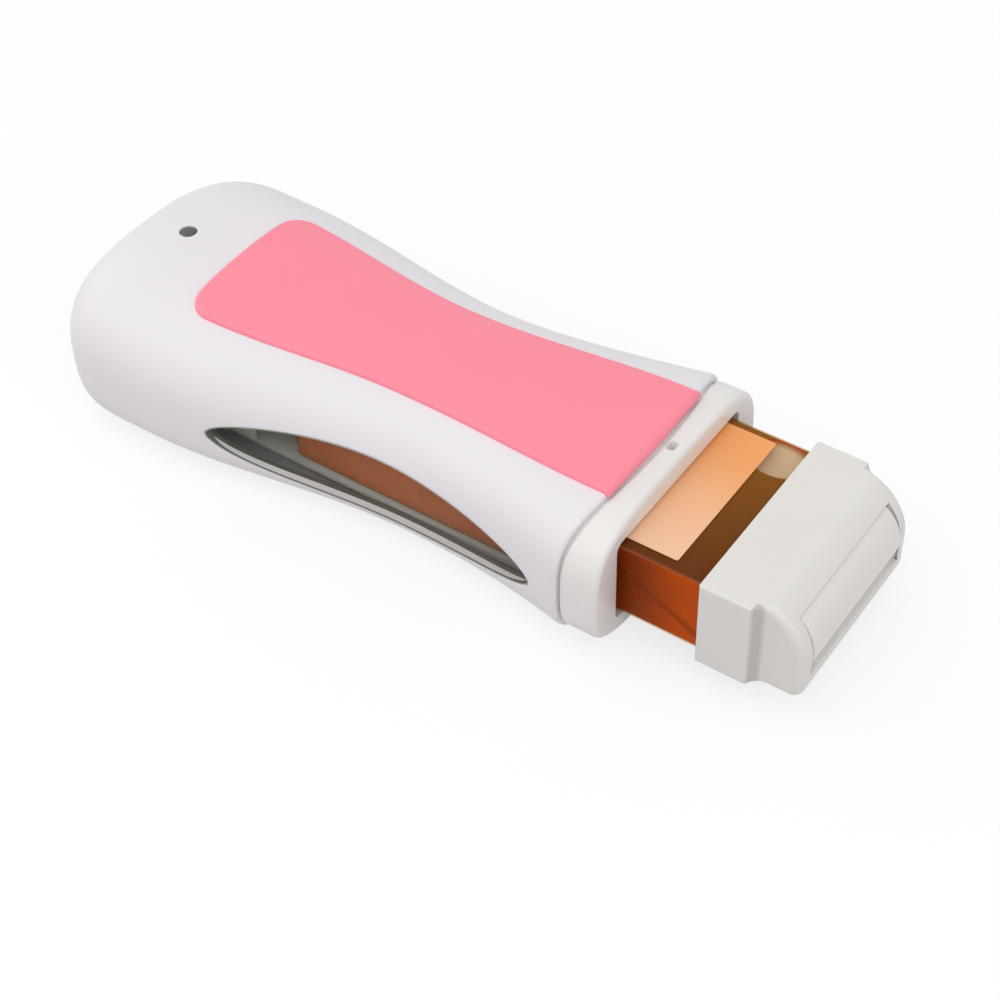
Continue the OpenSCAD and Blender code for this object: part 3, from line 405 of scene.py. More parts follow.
def maths(nt, operation, *values):
    n = node(nt, "ShaderNodeMath", operation=operation)
    for socket, value in zip(n.inputs, values):
        feed(nt, socket, value)
    return n.outputs[0]


def noise_at(nt, coords, scale, detail=2.0):
    n = node(nt, "ShaderNodeTexNoise", Scale=scale, Detail=detail)
    nt.links.new(coords.outputs["Object"], n.inputs["Vector"])
    return n.outputs["Fac"]


def split(nt, vector):
    """The X, Y and Z of a vector."""
    n = nt.nodes.new("ShaderNodeSeparateXYZ")
    nt.links.new(vector, n.inputs[0])
    return n.outputs


def blend_colours(nt, fac, a, b):
    """A colour between a and b, each a colour or an output."""
    n = node(nt, "ShaderNodeMix", data_type="RGBA")
    colours = [s for s in n.inputs if s.type == "RGBA"]
    for socket, value in zip(colours, (a, b)):
        feed(nt, socket, value if isinstance(value, bpy.types.NodeSocket) else (*value, 1))
    nt.links.new(fac, n.inputs[0])
    return [s for s in n.outputs if s.type == "RGBA"][0]


def remap(nt, value, a, b, c, d, smooth=False):
    """Takes a..b to c..d."""
    n = nt.nodes.new("ShaderNodeMapRange")
    if smooth:
        n.interpolation_type = "SMOOTHSTEP"
    for k, v in enumerate((a, b, c, d)):
        n.inputs[k + 1].default_value = v
    nt.links.new(value, n.inputs[0])
    return n.outputs[0]


def remap_mm(nt, value, a, b, c, d, smooth=True):
    """remap() of a place, with a and b in millimetres."""
    return remap(nt, value, a * MM, b * MM, c, d, smooth)


def patches(nt, coords, scale, low, high, detail=3.0):
    """A value that wanders softly between low and high."""
    return remap(nt, noise_at(nt, coords, scale, detail), 0.3, 0.7, low, high)


def roughen(nt, coords, shader, scale, strength, depth):
    """A fine bump on the shader."""
    bump = node(nt, "ShaderNodeBump", Strength=strength, Distance=depth)
    nt.links.new(noise_at(nt, coords, scale), bump.inputs["Height"])
    nt.links.new(bump.outputs["Normal"], shader.inputs["Normal"])


def mix_shaders(nt, share, first, second, out):
    """Shows second over first by the share."""
    blend = nt.nodes.new("ShaderNodeMixShader")
    nt.links.new(share, blend.inputs[0])
    nt.links.new(first.outputs[0], blend.inputs[1])
    nt.links.new(second.outputs[0], blend.inputs[2])
    nt.links.new(blend.outputs[0], out.inputs["Surface"])


def fresh(name):
    """A new material, its node tree and its shader."""
    mat = bpy.data.materials.new(name)
    mat.use_nodes = True
    nt = mat.node_tree
    return mat, nt, nt.nodes["Principled BSDF"]


# ------- materials
def surface(name, colour, rough, vary, grain, patch=45.0, grain_scale=9000.0, **sockets):
    """Moulded or worked surface: soft colour variation, uneven gloss and a fine grain."""
    grain_depth, gloss_vary = 0.000003, 0.03
    mat, nt, shader = fresh(name)
    coords = nt.nodes.new("ShaderNodeTexCoord")
    low = tuple(c * (1 - vary) for c in colour)
    high = tuple(min(c * (1 + vary), 1) for c in colour)
    tone = blend_colours(nt, patches(nt, coords, patch, 0, 1), low, high)
    nt.links.new(tone, shader.inputs["Base Color"])
    uneven = patches(nt, coords, patch * 4, rough - gloss_vary, rough + gloss_vary)
    nt.links.new(uneven, shader.inputs["Roughness"])
    roughen(nt, coords, shader, grain_scale, grain, grain_depth)
    for key, value in sockets.items():
        shader.inputs[key.replace("_", " ")].default_value = value
    return mat


def white_shell():
    return surface("white_gloss", linear((231, 228, 231)), 0.42, 0.006, 0.06)


def white_chamber():
    return surface("white_satin", linear((233, 231, 227)), 0.42, 0.006, 0.1)


def white_head():
    """The head's moulding, a little darker in the hollow of its step, where shade is painted into its colour.
    """
    mat = surface("head_satin", linear((226, 224, 218)), 0.42, 0.006, 0.12)
    nt = mat.node_tree
    base = nt.nodes["Principled BSDF"].inputs["Base Color"]
    place = split(nt, nt.nodes.new("ShaderNodeTexCoord").outputs["Object"])
    # Painted shade: over the step between block and arm, the base colour blends towards a dark grey, fading
    # in and out along X.
    start, end, deepest_painted_shade = HEAD_X + BLOCK_L - 0.2, HEAD_X + BLOCK_L + 3.1, 0.4
    outside = remap_mm(nt, maths(nt, "ABSOLUTE", place["Y"]), ARM_Y - 0.2, ARM_Y + 0.1, 0, 1, smooth=False)
    rising = remap_mm(nt, place["X"], start, start + 0.7, 0, deepest_painted_shade)
    falling = remap_mm(nt, place["X"], end - 1.6, end, 1, 0)
    share = maths(nt, "MULTIPLY", maths(nt, "MULTIPLY", outside, rising), falling)
    nt.links.new(blend_colours(nt, share, base.links[0].from_socket, linear((120, 116, 110))), base)
    return mat


def white_roller():
    return surface("roller_satin", linear((229, 226, 221)), 0.34, 0.008, 0.02, Coat_Weight=0.1,
                   Coat_Roughness=0.2)


def pink_panel():
    return surface("pink_satin", (0.98, 0.262, 0.338), 0.38, 0.01, 0.1)


def black_socket():
    return surface("socket_black", linear((38, 38, 41)), 0.5, 0.1, 0.3, grain_scale=1800)


def steel():
    return surface("steel", (0.6, 0.6, 0.61), 0.28, 0.03, 0.1, Metallic=1.0)


def aluminium():
    return surface("aluminium", (0.7, 0.71, 0.73), 0.35, 0.04, 0.2, Metallic=1.0)


def brass():
    return surface("brass", (0.78, 0.6, 0.28), 0.25, 0.05, 0.1, Metallic=1.0)


def ceramic():
    return surface("ceramic", (0.72, 0.66, 0.56), 0.6, 0.05, 0.3)


def green_board():
    return surface("board_green", (0.02, 0.15, 0.06), 0.4, 0.15, 0.1, patch=400)


def lead_sleeve():
    return surface("lead_sleeve", (0.32, 0.06, 0.05), 0.45, 0.08, 0.2)


def red_lamp():
    return surface("lamp_red", (0.35, 0.02, 0.02), 0.15, 0.05, 0.02)


def dark_lens():
    return surface("lens_dark", linear((52, 52, 56)), 0.16, 0.25, 0.02, patch=500, Coat_Weight=0.6,
                   Coat_Roughness=0.05)


# Painted shade: the dark grey of the band that lines each window's hole.
def pane_edge_shade():
    return surface("pane_edge_shade", linear((122, 124, 117)), 0.4, 0.06, 0.05)


# Painted highlight: the light grey of the thin band round each pane's edge.
def pane_bead_highlight():
    return surface("pane_bead_highlight", linear((196, 198, 192)), 0.3, 0.04, 0.05)


def clear(name, tint, through, gloss):
    """A clear wall: what is behind it shows in the tint, with a glossy coloured film over it."""
    mat, nt, shader = fresh(name)
    coords = nt.nodes.new("ShaderNodeTexCoord")
    shade = tuple(c * 0.85 for c in gloss)
    tone = blend_colours(nt, patches(nt, coords, 60.0, 0, 1), gloss, shade)
    nt.links.new(tone, shader.inputs["Base Color"])
    shader.inputs["Roughness"].default_value = 0.06
    see_through = node(nt, "ShaderNodeBsdfTransparent", Color=(*tint, 1))
    rim = node(nt, "ShaderNodeLayerWeight", Blend=0.35)
    film = remap(nt, rim.outputs["Facing"], 0.3, 1.0, 1 - through, 0.75, smooth=True)
    mix_shaders(nt, film, see_through, shader, nt.nodes["Material Output"])
    return mat


def smoked_acrylic():
    return clear("smoked_acrylic", (0.95, 0.955, 0.935), 0.96, linear((120, 122, 115)))


def clear_amber():
    return clear("clear_amber", (0.97, 0.88, 0.72), 0.98, linear((150, 70, 12)))


def wax_side(nt, place):
    """Painted light and shade of the wax's side: orange painted brighter towards the head where light shines
    through, painted paler inside the housing, and one darker slanting band of painted shade.
    """
    # Painted light: the side turns brighter orange towards the head, where light shines through the wax.
    glow = remap_mm(nt, place["X"], 85.5, 104.5, 0, 1)
    tone = blend_colours(nt, glow, linear((136, 54, 6)), linear((214, 92, 2)))
    # Painted light: paler where the wax lies inside the housing, to make up for the dim light there.
    outside = remap_mm(nt, place["X"], 74, 86, 0, 1)
    tone = blend_colours(nt, outside, linear((214, 136, 108)), tone)
    # Painted shade: a darker band that slants across the side.
    slant = maths(nt, "MULTIPLY_ADD", place["X"], 0.5, place["Z"])
    rising = remap_mm(nt, slant, 64.5, 66.5, 0, 1)
    falling = remap_mm(nt, slant, 66.5, 68.5, 0.55, 0)
    return blend_colours(nt, maths(nt, "MULTIPLY", rising, falling), tone, linear((118, 50, 4)))


def wax_top(nt, coords, place):
    """Colour of the wax from above: brown, and pale over the bubble."""
    across = remap_mm(nt, place["Y"], -24, 26, 0, 1, smooth=False)
    tone = blend_colours(nt, across, linear((106, 62, 34)), linear((150, 104, 44)))
    narrow = 1.3
    flat = node(nt, "ShaderNodeVectorMath", operation="MULTIPLY")
    feed(nt, flat.inputs[0], coords.outputs["Object"])
    feed(nt, flat.inputs[1], (1, narrow, 0))
    away = node(nt, "ShaderNodeVectorMath", operation="DISTANCE")
    feed(nt, away.inputs[0], flat.outputs[0])
    feed(nt, away.inputs[1], (BUBBLE_X * MM, BUBBLE_Y * narrow * MM, 0))
    pale = remap_mm(nt, away.outputs["Value"], 5.5, 8.5, 0.95, 0)
    return blend_colours(nt, pale, tone, linear((222, 212, 202)))


def resin_wax():
    """Resin wax with painted light: brown on its top faces, orange painted on its side faces where light
    shines through, and a painted highlight along its upper edges.
    """
    mat, nt, shader = fresh("resin_wax")
    coords = nt.nodes.new("ShaderNodeTexCoord")
    place = split(nt, coords.outputs["Object"])
    upward = split(nt, nt.nodes.new("ShaderNodeNewGeometry").outputs["Normal"])["Z"]
    # Painted light: the normal picks the brown of the top or the lit orange of the side.
    on_top = remap(nt, upward, 0.4, 0.8, 0, 1)
    tone = blend_colours(nt, on_top, wax_side(nt, place), wax_top(nt, coords, place))
    # Painted highlight: a lighter line where the normal turns over the upper edges.
    rising = remap(nt, upward, 0.35, 0.6, 0, 1, smooth=True)
    falling = remap(nt, upward, 0.6, 0.9, 0.55, 0, smooth=True)
    tone = blend_colours(nt, maths(nt, "MULTIPLY", rising, falling), tone, linear((176, 112, 92)))
    tone = blend_colours(nt, patches(nt, coords, 90, 0, 0.16), tone, linear((90, 34, 6)))
    nt.links.new(tone, shader.inputs["Base Color"])
    nt.links.new(patches(nt, coords, 300, 0.2, 0.4, detail=2.0), shader.inputs["Roughness"])
    shader.inputs["Specular IOR Level"].default_value = 0.1
    roughen(nt, coords, shader, 160, 0.2, 0.0002)
    return mat


def printed_label():
    """Smooth paper, from pale peach to orange across the bottle."""
    mat, nt, shader = fresh("printed_label")
    coords = nt.nodes.new("ShaderNodeTexCoord")
    place = split(nt, coords.outputs["Object"])
    wander = maths(nt, "ADD", place["Y"], patches(nt, coords, 35, -0.004, 0.004, detail=1.0))
    across = remap_mm(nt, wander, -24, 22, 0, 1)
    tone = blend_colours(nt, across, linear((246, 197, 158)), linear((243, 163, 94)))
    fibre = remap(nt, noise_at(nt, coords, 4000), 0.35, 0.65, 0, 0.05)
    nt.links.new(blend_colours(nt, fibre, tone, linear((235, 180, 140))), shader.inputs["Base Color"])
    shader.inputs["Roughness"].default_value = 0.42
    roughen(nt, coords, shader, 5000, 0.1, 0.00002)
    return mat


# ------- shells
def window_rise(x):
    """Share of the window's full height at x."""
    u = (x - WIN_X) / (WIN_L / 2)
    return power(1 - u * u, WIN_POWER)


def station_of(flank_x):
    """The station whose section meets the flank at flank_x."""
    x = np.array(flank_x, float)
    for _ in range(60):
        x = flank_x + swept(x)
    return x


def end_section(angle, d):
    """Place and closing factor of a section of the round rear end, inset by d."""
    x = CLOSE_X - (REAR_ROUND - REAR_EASE - d) * math.sin(angle) ** (2 / ROUND_END)
    return x, math.cos(angle) ** (2 / ROUND_END)


def sections():
    """The sections from rear to front: place and closing of the outer and inner skin, and the inset."""
    tip, reach = WIN_X - WIN_L / 2, WIN_X + WIN_L / 2
    rear = np.linspace(CLOSE_X, tip - 0.02, 22)[1:]
    window = WIN_X - WIN_L / 2 * np.cos(np.linspace(0, np.pi, 72))
    front = np.linspace(reach + 0.02, FRONT_X - FRONT_SWEEP - 0.5, 8)[:-1]
    body = station_of(np.concatenate([rear, window, front]))
    edge = [(FRONT_X - FRONT_EDGE_R * (1 - math.sin(f)), FRONT_EDGE_R * (1 - math.cos(f))) for f in QUARTER]
    ends = np.radians(np.linspace(86, 0, 30))
    out = [(end_section(a, 0.0), end_section(a, SHELL_T), 0.0) for a in ends]
    out += [((x, 1.0), (x, 1.0), 0.0) for x in body]
    out += [((x, 1.0), (x, 1.0), inset) for x, inset in edge]
    return out


def border_angle(upper, x0, sweep, s):
    """Where a half's section begins, at the seam or at the window's edge, and whether at the window."""
    low, high = 1e-6, math.radians(70)

    def outside(a):
        x, _, z = shell_point(upper, x0, sweep, s, a, 0)
        if abs(x - WIN_X) >= WIN_L / 2:
            return True
        if upper:
            return z >= WIN_TIP + window_rise(x) * WIN_RISE
        return z <= WIN_TIP - window_rise(x) * WIN_DROP

    if outside(low):
        return low, False
    for _ in range(40):
        mid = (low + high) / 2
        low, high = (low, mid) if outside(mid) else (mid, high)
    return high, True


def half_ring(upper, x0, sweep, s, front_inset):
    """Angles and outer points of half a section, from its border to the middle line."""
    a0, at_window = border_angle(upper, x0, sweep, s)
    r = WINDOW_EDGE_R if at_window else SEAM_EDGE_R
    a = a0 + (np.pi / 2 - a0) * np.linspace(0, 1, 900) ** 2.2
    run = run_along(shell_point(upper, x0, sweep, s, a, 0))
    phi = QUARTER[::-1]
    near = r * (1 - np.sin(phi))
    far = r + (run[-1] - r) * np.linspace(0, 1, 54)[1:] ** 1.15
    depth = np.concatenate([r * (1 - np.cos(phi)), np.zeros(len(far))])
    at = np.interp(np.concatenate([near, far]), run, a)
    return at, shell_point(upper, x0, sweep, s, at, np.maximum(depth, front_inset))


def both_sides(points):
    """Half a ring with its mirror image after it."""
    return np.concatenate([points, points[-2::-1] * np.array([1, -1, 1])])


def shell(upper, name, mat, node_name):
    """One shell half with its wall, round edges and half of each window."""
    rings = []
    for (outer_x, outer_s), (inner_x, inner_s), inset in sections():
        at, outer = half_ring(upper, outer_x, float(swept(outer_x)), outer_s, inset)
        inner = shell_point(upper, inner_x, float(swept(inner_x)), inner_s, at, SHELL_T)
        rings.append(np.concatenate([both_sides(outer), both_sides(inner)[::-1]]))
    shape = Shape()
    ids = shape.grid(rings, wrap=True)
    half = ids.shape[1] // 2
    for end in (ids[0], ids[-1]):
        shape.strip(end[:half], end[half:][::-1], wrap=False)
    return shape.piece(name, mat, "housing", "shell", replaces=[node_name])


def inlet_cutter():
    tool = Shape()
    ring = rounded_rect(INLET_W + 2 * INLET_FIT, INLET_H + 2 * INLET_FIT, INLET_CORNER)
    tool.loft([standing(ring, x, INLET_Z) for x in (REAR_X - 3, REAR_X + INLET_DEPTH)])
    return tool.cutter()


def led_hole_cutter(top):
    """The hole for the lamp, flared at the surface."""
    tool = Shape()
    flare = [(LED_HOLE_R + LED_FLARE * (1 - math.cos(f)), top - LED_FLARE + LED_FLARE * math.sin(f))
             for f in np.radians([0, 25, 50, 70, 90])]
    profile = [(LED_HOLE_R, top - LED_HOLE_DEPTH)] + flare + [(LED_HOLE_R + LED_FLARE, top + 1)]
    tool.loft(lathe(profile, 64, centre=(LED_X, 0, 0)))
    return tool.cutter()


def screw_well_cutter(x, y):
    """The well of a screw in the underside, flared at the surface."""
    tool = Shape()
    flare = [(WELL_R, 0.7), (WELL_R + 0.02, 0.45), (WELL_R + 0.15, 0.22), (WELL_R + 0.4, 0.02)]
    profile = [(WELL_R, WELL_DEPTH)] + flare + [(WELL_R + 0.4, -1.0)]
    tool.loft(lathe(profile, 40, centre=(x, y, 0)))
    return tool.cutter()


def lens(top):
    """The lamp's domed lens, a little below the surface."""
    shape = Shape()
    dome = [(LENS_R * math.sin(f), top - LENS_SUNK - LENS_DOME * (1 - math.cos(f)))
            for f in np.radians([90, 70, 50, 30, 10])]
    stem = [(LENS_R, top - LENS_DEPTH), (LENS_R, top - 1.8)]
    shape.loft(lathe(stem + dome, 48, centre=(LED_X, 0, 0)))
    sharpen(shape.piece("lens", dark_lens(), "housing", "lens", replaces=["led_lens"]), 50)


def shells():
    """Both shell halves with their openings, and the lens in the upper one."""
    white = white_shell()
    top = float(top_z(LED_X, 0))
    upper = shell(True, "shell_top", white, "upper_shell")
    cut(upper, led_hole_cutter(top), inlet_cutter())
    sharpen(upper, 40)
    lens(top)
    lower = shell(False, "shell_bottom", white, "lower_shell")
    wells = [screw_well_cutter(x, side * y) for x, y in SCREW_WELLS for side in (-1, 1)]
    cut(lower, inlet_cutter(), *wells)
    sharpen(lower, 40)


# ------- top panel
def panel_half(x):
    """Half-width of the panel."""
    rear = mix(PANEL_REAR_W, PANEL_WAIST_W, ease((x - PANEL_X) / (PANEL_WAIST_X - PANEL_X))) / 2
    front = mix(PANEL_WAIST_W, PANEL_FRONT_W, ease((x - PANEL_WAIST_X) / (PANEL_END - PANEL_WAIST_X))) / 2
    return np.where(x < PANEL_WAIST_X, rear, front)


def collar_z(y):
    """Height of the collar's top."""
    n = TOP_ROUND[1]
    return SPLIT + (COLLAR_TOP - SPLIT) * power(1 - power(2 * np.abs(y) / COLLAR_W, n), 1 / n)


def panel_stations():
    corner = PANEL_X + PANEL_CORNER * (1 - np.cos(np.radians(np.linspace(0, 90, 10))))
    along = np.linspace(PANEL_X + PANEL_CORNER, FRONT_X - 1.5, 70)[1:]
    tail = FRONT_X + np.array([-1.1, -0.7, -0.5, -0.48, -0.1])
    return np.concatenate([corner, along, tail, [PANEL_END]])


def panel_grid(side_in, front_in, level):
    """Points of the panel, inset from its sides and its front, at the height that level gives."""
    rows = []
    for x in panel_stations():
        c = max(PANEL_CORNER - (x - PANEL_X), 0)
        edge = panel_half(x) - side_in - PANEL_CORNER + math.sqrt(max(PANEL_CORNER ** 2 - c * c, 0))
        share = (x - PANEL_X) / (PANEL_END - PANEL_X)
        y = np.sin(np.linspace(-1, 1, 41) * np.pi / 2) * edge
        bow = PANEL_BOW * (1 - power(2 * np.abs(y) / PANEL_REAR_W, 2)) * (FRONT_X - x) / (FRONT_X - PANEL_X)
        sweep = LIP_SWEEP * swept(x) * power(np.abs(y) / half_w(np.array(x)), 2)
        px = x + side_in * (1 - share) ** 8 - front_in * share ** 8 - bow - sweep
        rows.append(np.stack([px, y, level(px, y, x)], -1))
    return np.array(rows)


def panel_face(phi):
    """The panel's grid at the angle phi of its rounded edge, from the flat top outward."""
    def level(px, y, x):
        r = mix(PANEL_SIDE_R, PANEL_FRONT_R, smoothstep((x - PANEL_END + 4) / 4))
        return top_z(np.minimum(px, FRONT_X), y) + PANEL_PROUD - r * (1 - math.cos(phi))

    turn_in = 1 - math.sin(phi)
    return panel_grid(PANEL_SIDE_R * turn_in, PANEL_FRONT_R * turn_in, level)


def panel_underside(px, y, x):
    """Height of the underside: in the shell's recess, and over the collar at the lip."""
    if x > LIP_X:
        return collar_z(LIP_ARCH * y) + LIP_GAP
    return top_z(np.minimum(px, FRONT_X), y) - PANEL_SUNK


def panel():
    shape = Shape()
    faces = [panel_face(phi) for phi in np.radians([0, 18, 36, 54, 72, 90])]
    shape.pillow(faces + [panel_grid(0, 0, panel_underside)])
    sharpen(shape.piece("panel", pink_panel(), "housing", "panel", replaces=["top_panel"]), 50)


# ------- windows
def pane_grid(side, inset, depth):
    """Points of a pane at an inset from its outline and a depth behind the flank."""
    v = np.linspace(0, 1, 25)
    rows = []
    for u in -np.cos(np.linspace(0.03, np.pi - 0.03, 90)):
        x = np.full(len(v), WIN_X + u * (WIN_L / 2 - PANE_GAP - inset))
        h = (1 - u * u) ** WIN_POWER
        z = WIN_TIP + mix(-h * (WIN_DROP - PANE_GAP - inset), h * (WIN_RISE - PANE_GAP - inset), v)
        rows.append(np.stack([x, side * side_y(x, z, depth), z], -1))
    return np.array(rows)


def pane_band(side, name, mat, node_name, insets, depths):
    """A thin band inside a pane's outline, between two insets and two depths."""
    shape = Shape()
    (near, far), (front, back) = insets, depths
    corners = ((near, front), (near, back), (far, back), (far, front))
    loops = [shape.add(outline(pane_grid(side, inset, depth))) for inset, depth in corners]
    for k, loop in enumerate(loops):
        shape.strip(loop, loops[(k + 1) % len(loops)])
    sharpen(shape.piece(name, mat, "housing", "window", replaces=[node_name]), 40)


def panes():
    """The clear pane in each flank, with a dark band of painted shade lining its hole and a thin light band
    of painted highlight round it.
    """
    acrylic, shade_lining, highlight_bead = smoked_acrylic(), pane_edge_shade(), pane_bead_highlight()
    for side, label in ((1, "left"), (-1, "right")):
        name, node_name = f"pane_{label}", f"window_{label}"
        shape = Shape()
        faces = [pane_grid(side, PANE_EDGE_R * (1 - math.sin(f)), PANE_EDGE_R * (1 - math.cos(f)) + PANE_SUNK)
                 for f in np.radians([0, 30, 60, 90])]
        shape.pillow(faces + [pane_grid(side, 0, SHELL_T)])
        sharpen(shape.piece(name, acrylic, "housing", "window", replaces=[node_name]), 50)
        pane_band(side, f"{name}_edge", shade_lining, node_name, (0.04, 0.16), (0.35, SHELL_T + LINING_L))
        pane_band(side, f"{name}_bead", highlight_bead, node_name, (0.05, 0.17), (0.14, 0.33))


# ------- chamber and collar
def around(theta):
    """Which half an angle round the collar lies in, and the angle within that half."""
    t = np.mod(theta, 2 * np.pi)
    return t <= np.pi, np.where(t <= np.pi, t, 2 * np.pi - t)


def neck_ring(x, sweep, theta):
    """A ring of the sleeve inside the shells."""
    is_up, a = around(theta)
    station, inset = np.full(len(a), x), SHELL_T + SLEEVE_GAP
    up = shell_point(True, station, sweep, 1.0, a, inset)
    down = shell_point(False, station, sweep, 1.0, a, inset)
    return np.where(is_up[:, None], up, down)


def collar_ring(x, sweep, d, theta):
    """A ring of the collar's outside, inset by d."""
    is_up, a = around(theta)
    n = np.where(is_up, TOP_ROUND[1], BOTTOM_ROUND[1])
    px = x - sweep * power(np.abs(np.cos(a)), 4 / n)
    py = (COLLAR_W / 2 - d) * signed(np.cos(a), 2 / n)
    h = np.where(is_up, COLLAR_TOP - SPLIT, SPLIT - COLLAR_BOTTOM) - d
    pz = SPLIT + h * np.where(is_up, 1, -1) * power(np.sin(a), 2 / n)
    return np.stack([px, py, pz], -1)


def mouth_ring(x, grow, theta):
    """The mouth's rounded rectangle, at the same angles as the collar's ring."""
    w, h, r = MOUTH_W / 2 + grow, MOUTH_H / 2 + grow, MOUTH_CORNER + grow
    ring = collar_ring(0, 0, 6, theta)
    dy, dz = ring[:, 1], ring[:, 2] - AXIS_Z
    scale = 1 / np.maximum(np.abs(dy) / w, np.abs(dz) / h)
    y, z = dy * scale, dz * scale
    cy, cz = np.abs(y) - (w - r), np.abs(z) - (h - r)
    corner = (cy > 0) & (cz > 0)
    length = np.maximum(np.hypot(cy, cz), 1e-9)
    y = np.where(corner, np.sign(y) * (w - r + cy / length * r), y)
    z = np.where(corner, np.sign(z) * (h - r + cz / length * r), z)
    return np.stack([np.full(len(y), float(x)), y, z + AXIS_Z], -1)


def seam_angle():
    """The angle at which the collar's outside meets the seam of the chamber's halves."""
    low, high = 0.0, 1.0
    for _ in range(50):
        mid = (low + high) / 2
        z = collar_ring(0, 0, 0, np.array([mid]))[0, 2]
        low, high = (low, mid) if z > CHAMBER_SPLIT else (mid, high)
    return low


def even_angles(a, b, n):
    """n angles from a to b that step evenly along the collar."""
    t = np.linspace(a, b, 4000)
    run = run_along(collar_ring(0, 0, 0, t))
    return np.interp(np.linspace(0, run[-1], n), run, t)


def collar_rings(theta):
    """Rings from the sleeve over the collar and its lip into the mouth."""
    back = FRONT_X + COLLAR_GAP
    start, end = back + COLLAR_BACK_R, MOUTH_X - COLLAR_FRONT_R
    rings = [neck_ring(SLEEVE_X, 0, theta)]
    rings.append(neck_ring(mix(SLEEVE_X, FRONT_X, 0.5), FRONT_SWEEP / 2, theta))
    rings += [neck_ring(x, FRONT_SWEEP, theta) for x in (FRONT_X, back)]
    for f in QUARTER:
        x, inset = back + COLLAR_BACK_R * (1 - math.cos(f)), COLLAR_BACK_R * (1 - math.sin(f))
        rings.append(collar_ring(x, FRONT_SWEEP, inset, theta))
    for t in (0.2, 0.4, 0.6, 0.8):
        rings.append(collar_ring(mix(start, end, t), FRONT_SWEEP * (1 - t), 0, theta))
    for f in np.radians(np.linspace(0, 90, 9)):
        x, inset = MOUTH_X - COLLAR_FRONT_R * (1 - math.sin(f)), COLLAR_FRONT_R * (1 - math.cos(f))
        rings.append(collar_ring(x, 0, inset, theta))
    for f in QUARTER:
        x, grow = MOUTH_X - MOUTH_LIP_R * (1 - math.cos(f)), MOUTH_LIP_R * (1 - math.sin(f))
        rings.append(mouth_ring(x, grow, theta))
    rings += [mouth_ring(x, 0, theta) for x in (MOUTH_X - MOUTH_DEPTH, SLEEVE_X)]
    return np.array(rings)


def collar_half(upper):
    """The upper or lower half of the collar, cut off flat at the seam."""
    t0 = seam_angle()
    rings = collar_rings(even_angles(t0, (np.pi if upper else -np.pi) - t0, 130))
    rings[:, (0, -1), 2] = CHAMBER_SPLIT + (SEAM_GAP if upper else -SEAM_GAP)
    shape = Shape()
    shape.loft(np.transpose(rings, (1, 0, 2)))
    return shape


def cheeks(shape, z0, z1):
    """The two walls that guide the rear of the bottle."""
    for side in (-1, 1):
        y0, y1 = sorted((side * CHEEK_Y, side * (CHEEK_Y + CHEEK_T)))
        shape.box(CHAMBER_X, CHAMBER_X + CHEEK_L, y0, y1, z0, z1)


def slot_cutter():
    """The slot in the collar's top, wider at the surface."""
    tool = Shape()
    ring = rounded_rect(SLOT_L, SLOT_W, SLOT_CORNER, 8)
    middle = np.array([SLOT_X, SLOT_Y])
    levels = ((-SLOT_DEPTH, 1.0), (-0.3, 1.0), (0.4, 1.25))
    tool.loft([lying(ring * grow + middle, COLLAR_TOP + dz) for dz, grow in levels])
    return tool.cutter()


def chamber_upper(mat):
    shape = collar_half(True)
    rear, end_w = CHAMBER_X - WALL, CHEEK_Y + CHEEK_T
    shape.box(rear, SLEEVE_X + SLEEVE_LAP, -ROOF_HALF_W, ROOF_HALF_W, ROOF_Z - WALL, ROOF_Z)
    shape.box(rear, CHAMBER_X, -ROOF_HALF_W, ROOF_HALF_W, CHAMBER_SPLIT, ROOF_Z - WALL)
    shape.box(rear, CHAMBER_X, -end_w, end_w, CHAMBER_SPLIT, CHEEK_TOP)
    cheeks(shape, CHAMBER_SPLIT, CHEEK_TOP)
    obj = shape.piece("chamber_top", mat, "housing", "chamber", replaces=["chamber_upper"])
    cut(obj, slot_cutter())
    sharpen(obj, 40)


def chamber_lower(mat):
    shape = collar_half(False)
    rear, end_w = CHAMBER_X - WALL, CHEEK_Y + CHEEK_T
    shape.box(rear, SLEEVE_X + SLEEVE_LAP, -FLOOR_HALF_W, FLOOR_HALF_W, FLOOR_Z - WALL, FLOOR_Z)
    shape.box(rear, CHAMBER_X, -end_w, end_w, FLOOR_Z, CHAMBER_SPLIT)
    cheeks(shape, FLOOR_Z + WALL, CHAMBER_SPLIT)
    sharpen(shape.piece("chamber_bottom", mat, "housing", "chamber", replaces=["chamber_lower"]), 40)


def chamber():
    mat = white_chamber()
    chamber_upper(mat)
    chamber_lower(mat)


# ------- head of the cartridge and roller
def plan_y(x):
    """Half-width of the head: the block, the curved step and the arm."""
    step = HEAD_W / 2 - ARM_Y
    r = (STEP_L ** 2 + step ** 2) / (2 * step)
    dx = np.clip(BLOCK_L + STEP_L - x, 0, STEP_L)
    inside = ARM_Y + r - np.sqrt(np.maximum(r * r - dx * dx, 0))
    return np.where(x <= BLOCK_L, HEAD_W / 2, inside)


def head_top(x, e):
    """Top of the head's profile over the axis, inset by e."""
    dx = np.maximum(x - (HEAD_L - NOSE_R), 0)
    arc = -NOSE_DROP + np.sqrt(np.maximum((NOSE_R - e) ** 2 - dx ** 2, 0))
    return np.minimum(HEAD_H / 2 - e, arc)


def head_bottom(x, e):
    """Bottom of the head's profile, inset by e."""
    corner_x = HEAD_L - NOSE_CORNER
    dx = np.maximum(x - corner_x, 0)
    arc = -HEAD_H / 2 + NOSE_CORNER - np.sqrt(np.maximum((NOSE_CORNER - e) ** 2 - dx ** 2, 0))
    return np.where(x <= corner_x, -HEAD_H / 2 + e, arc)


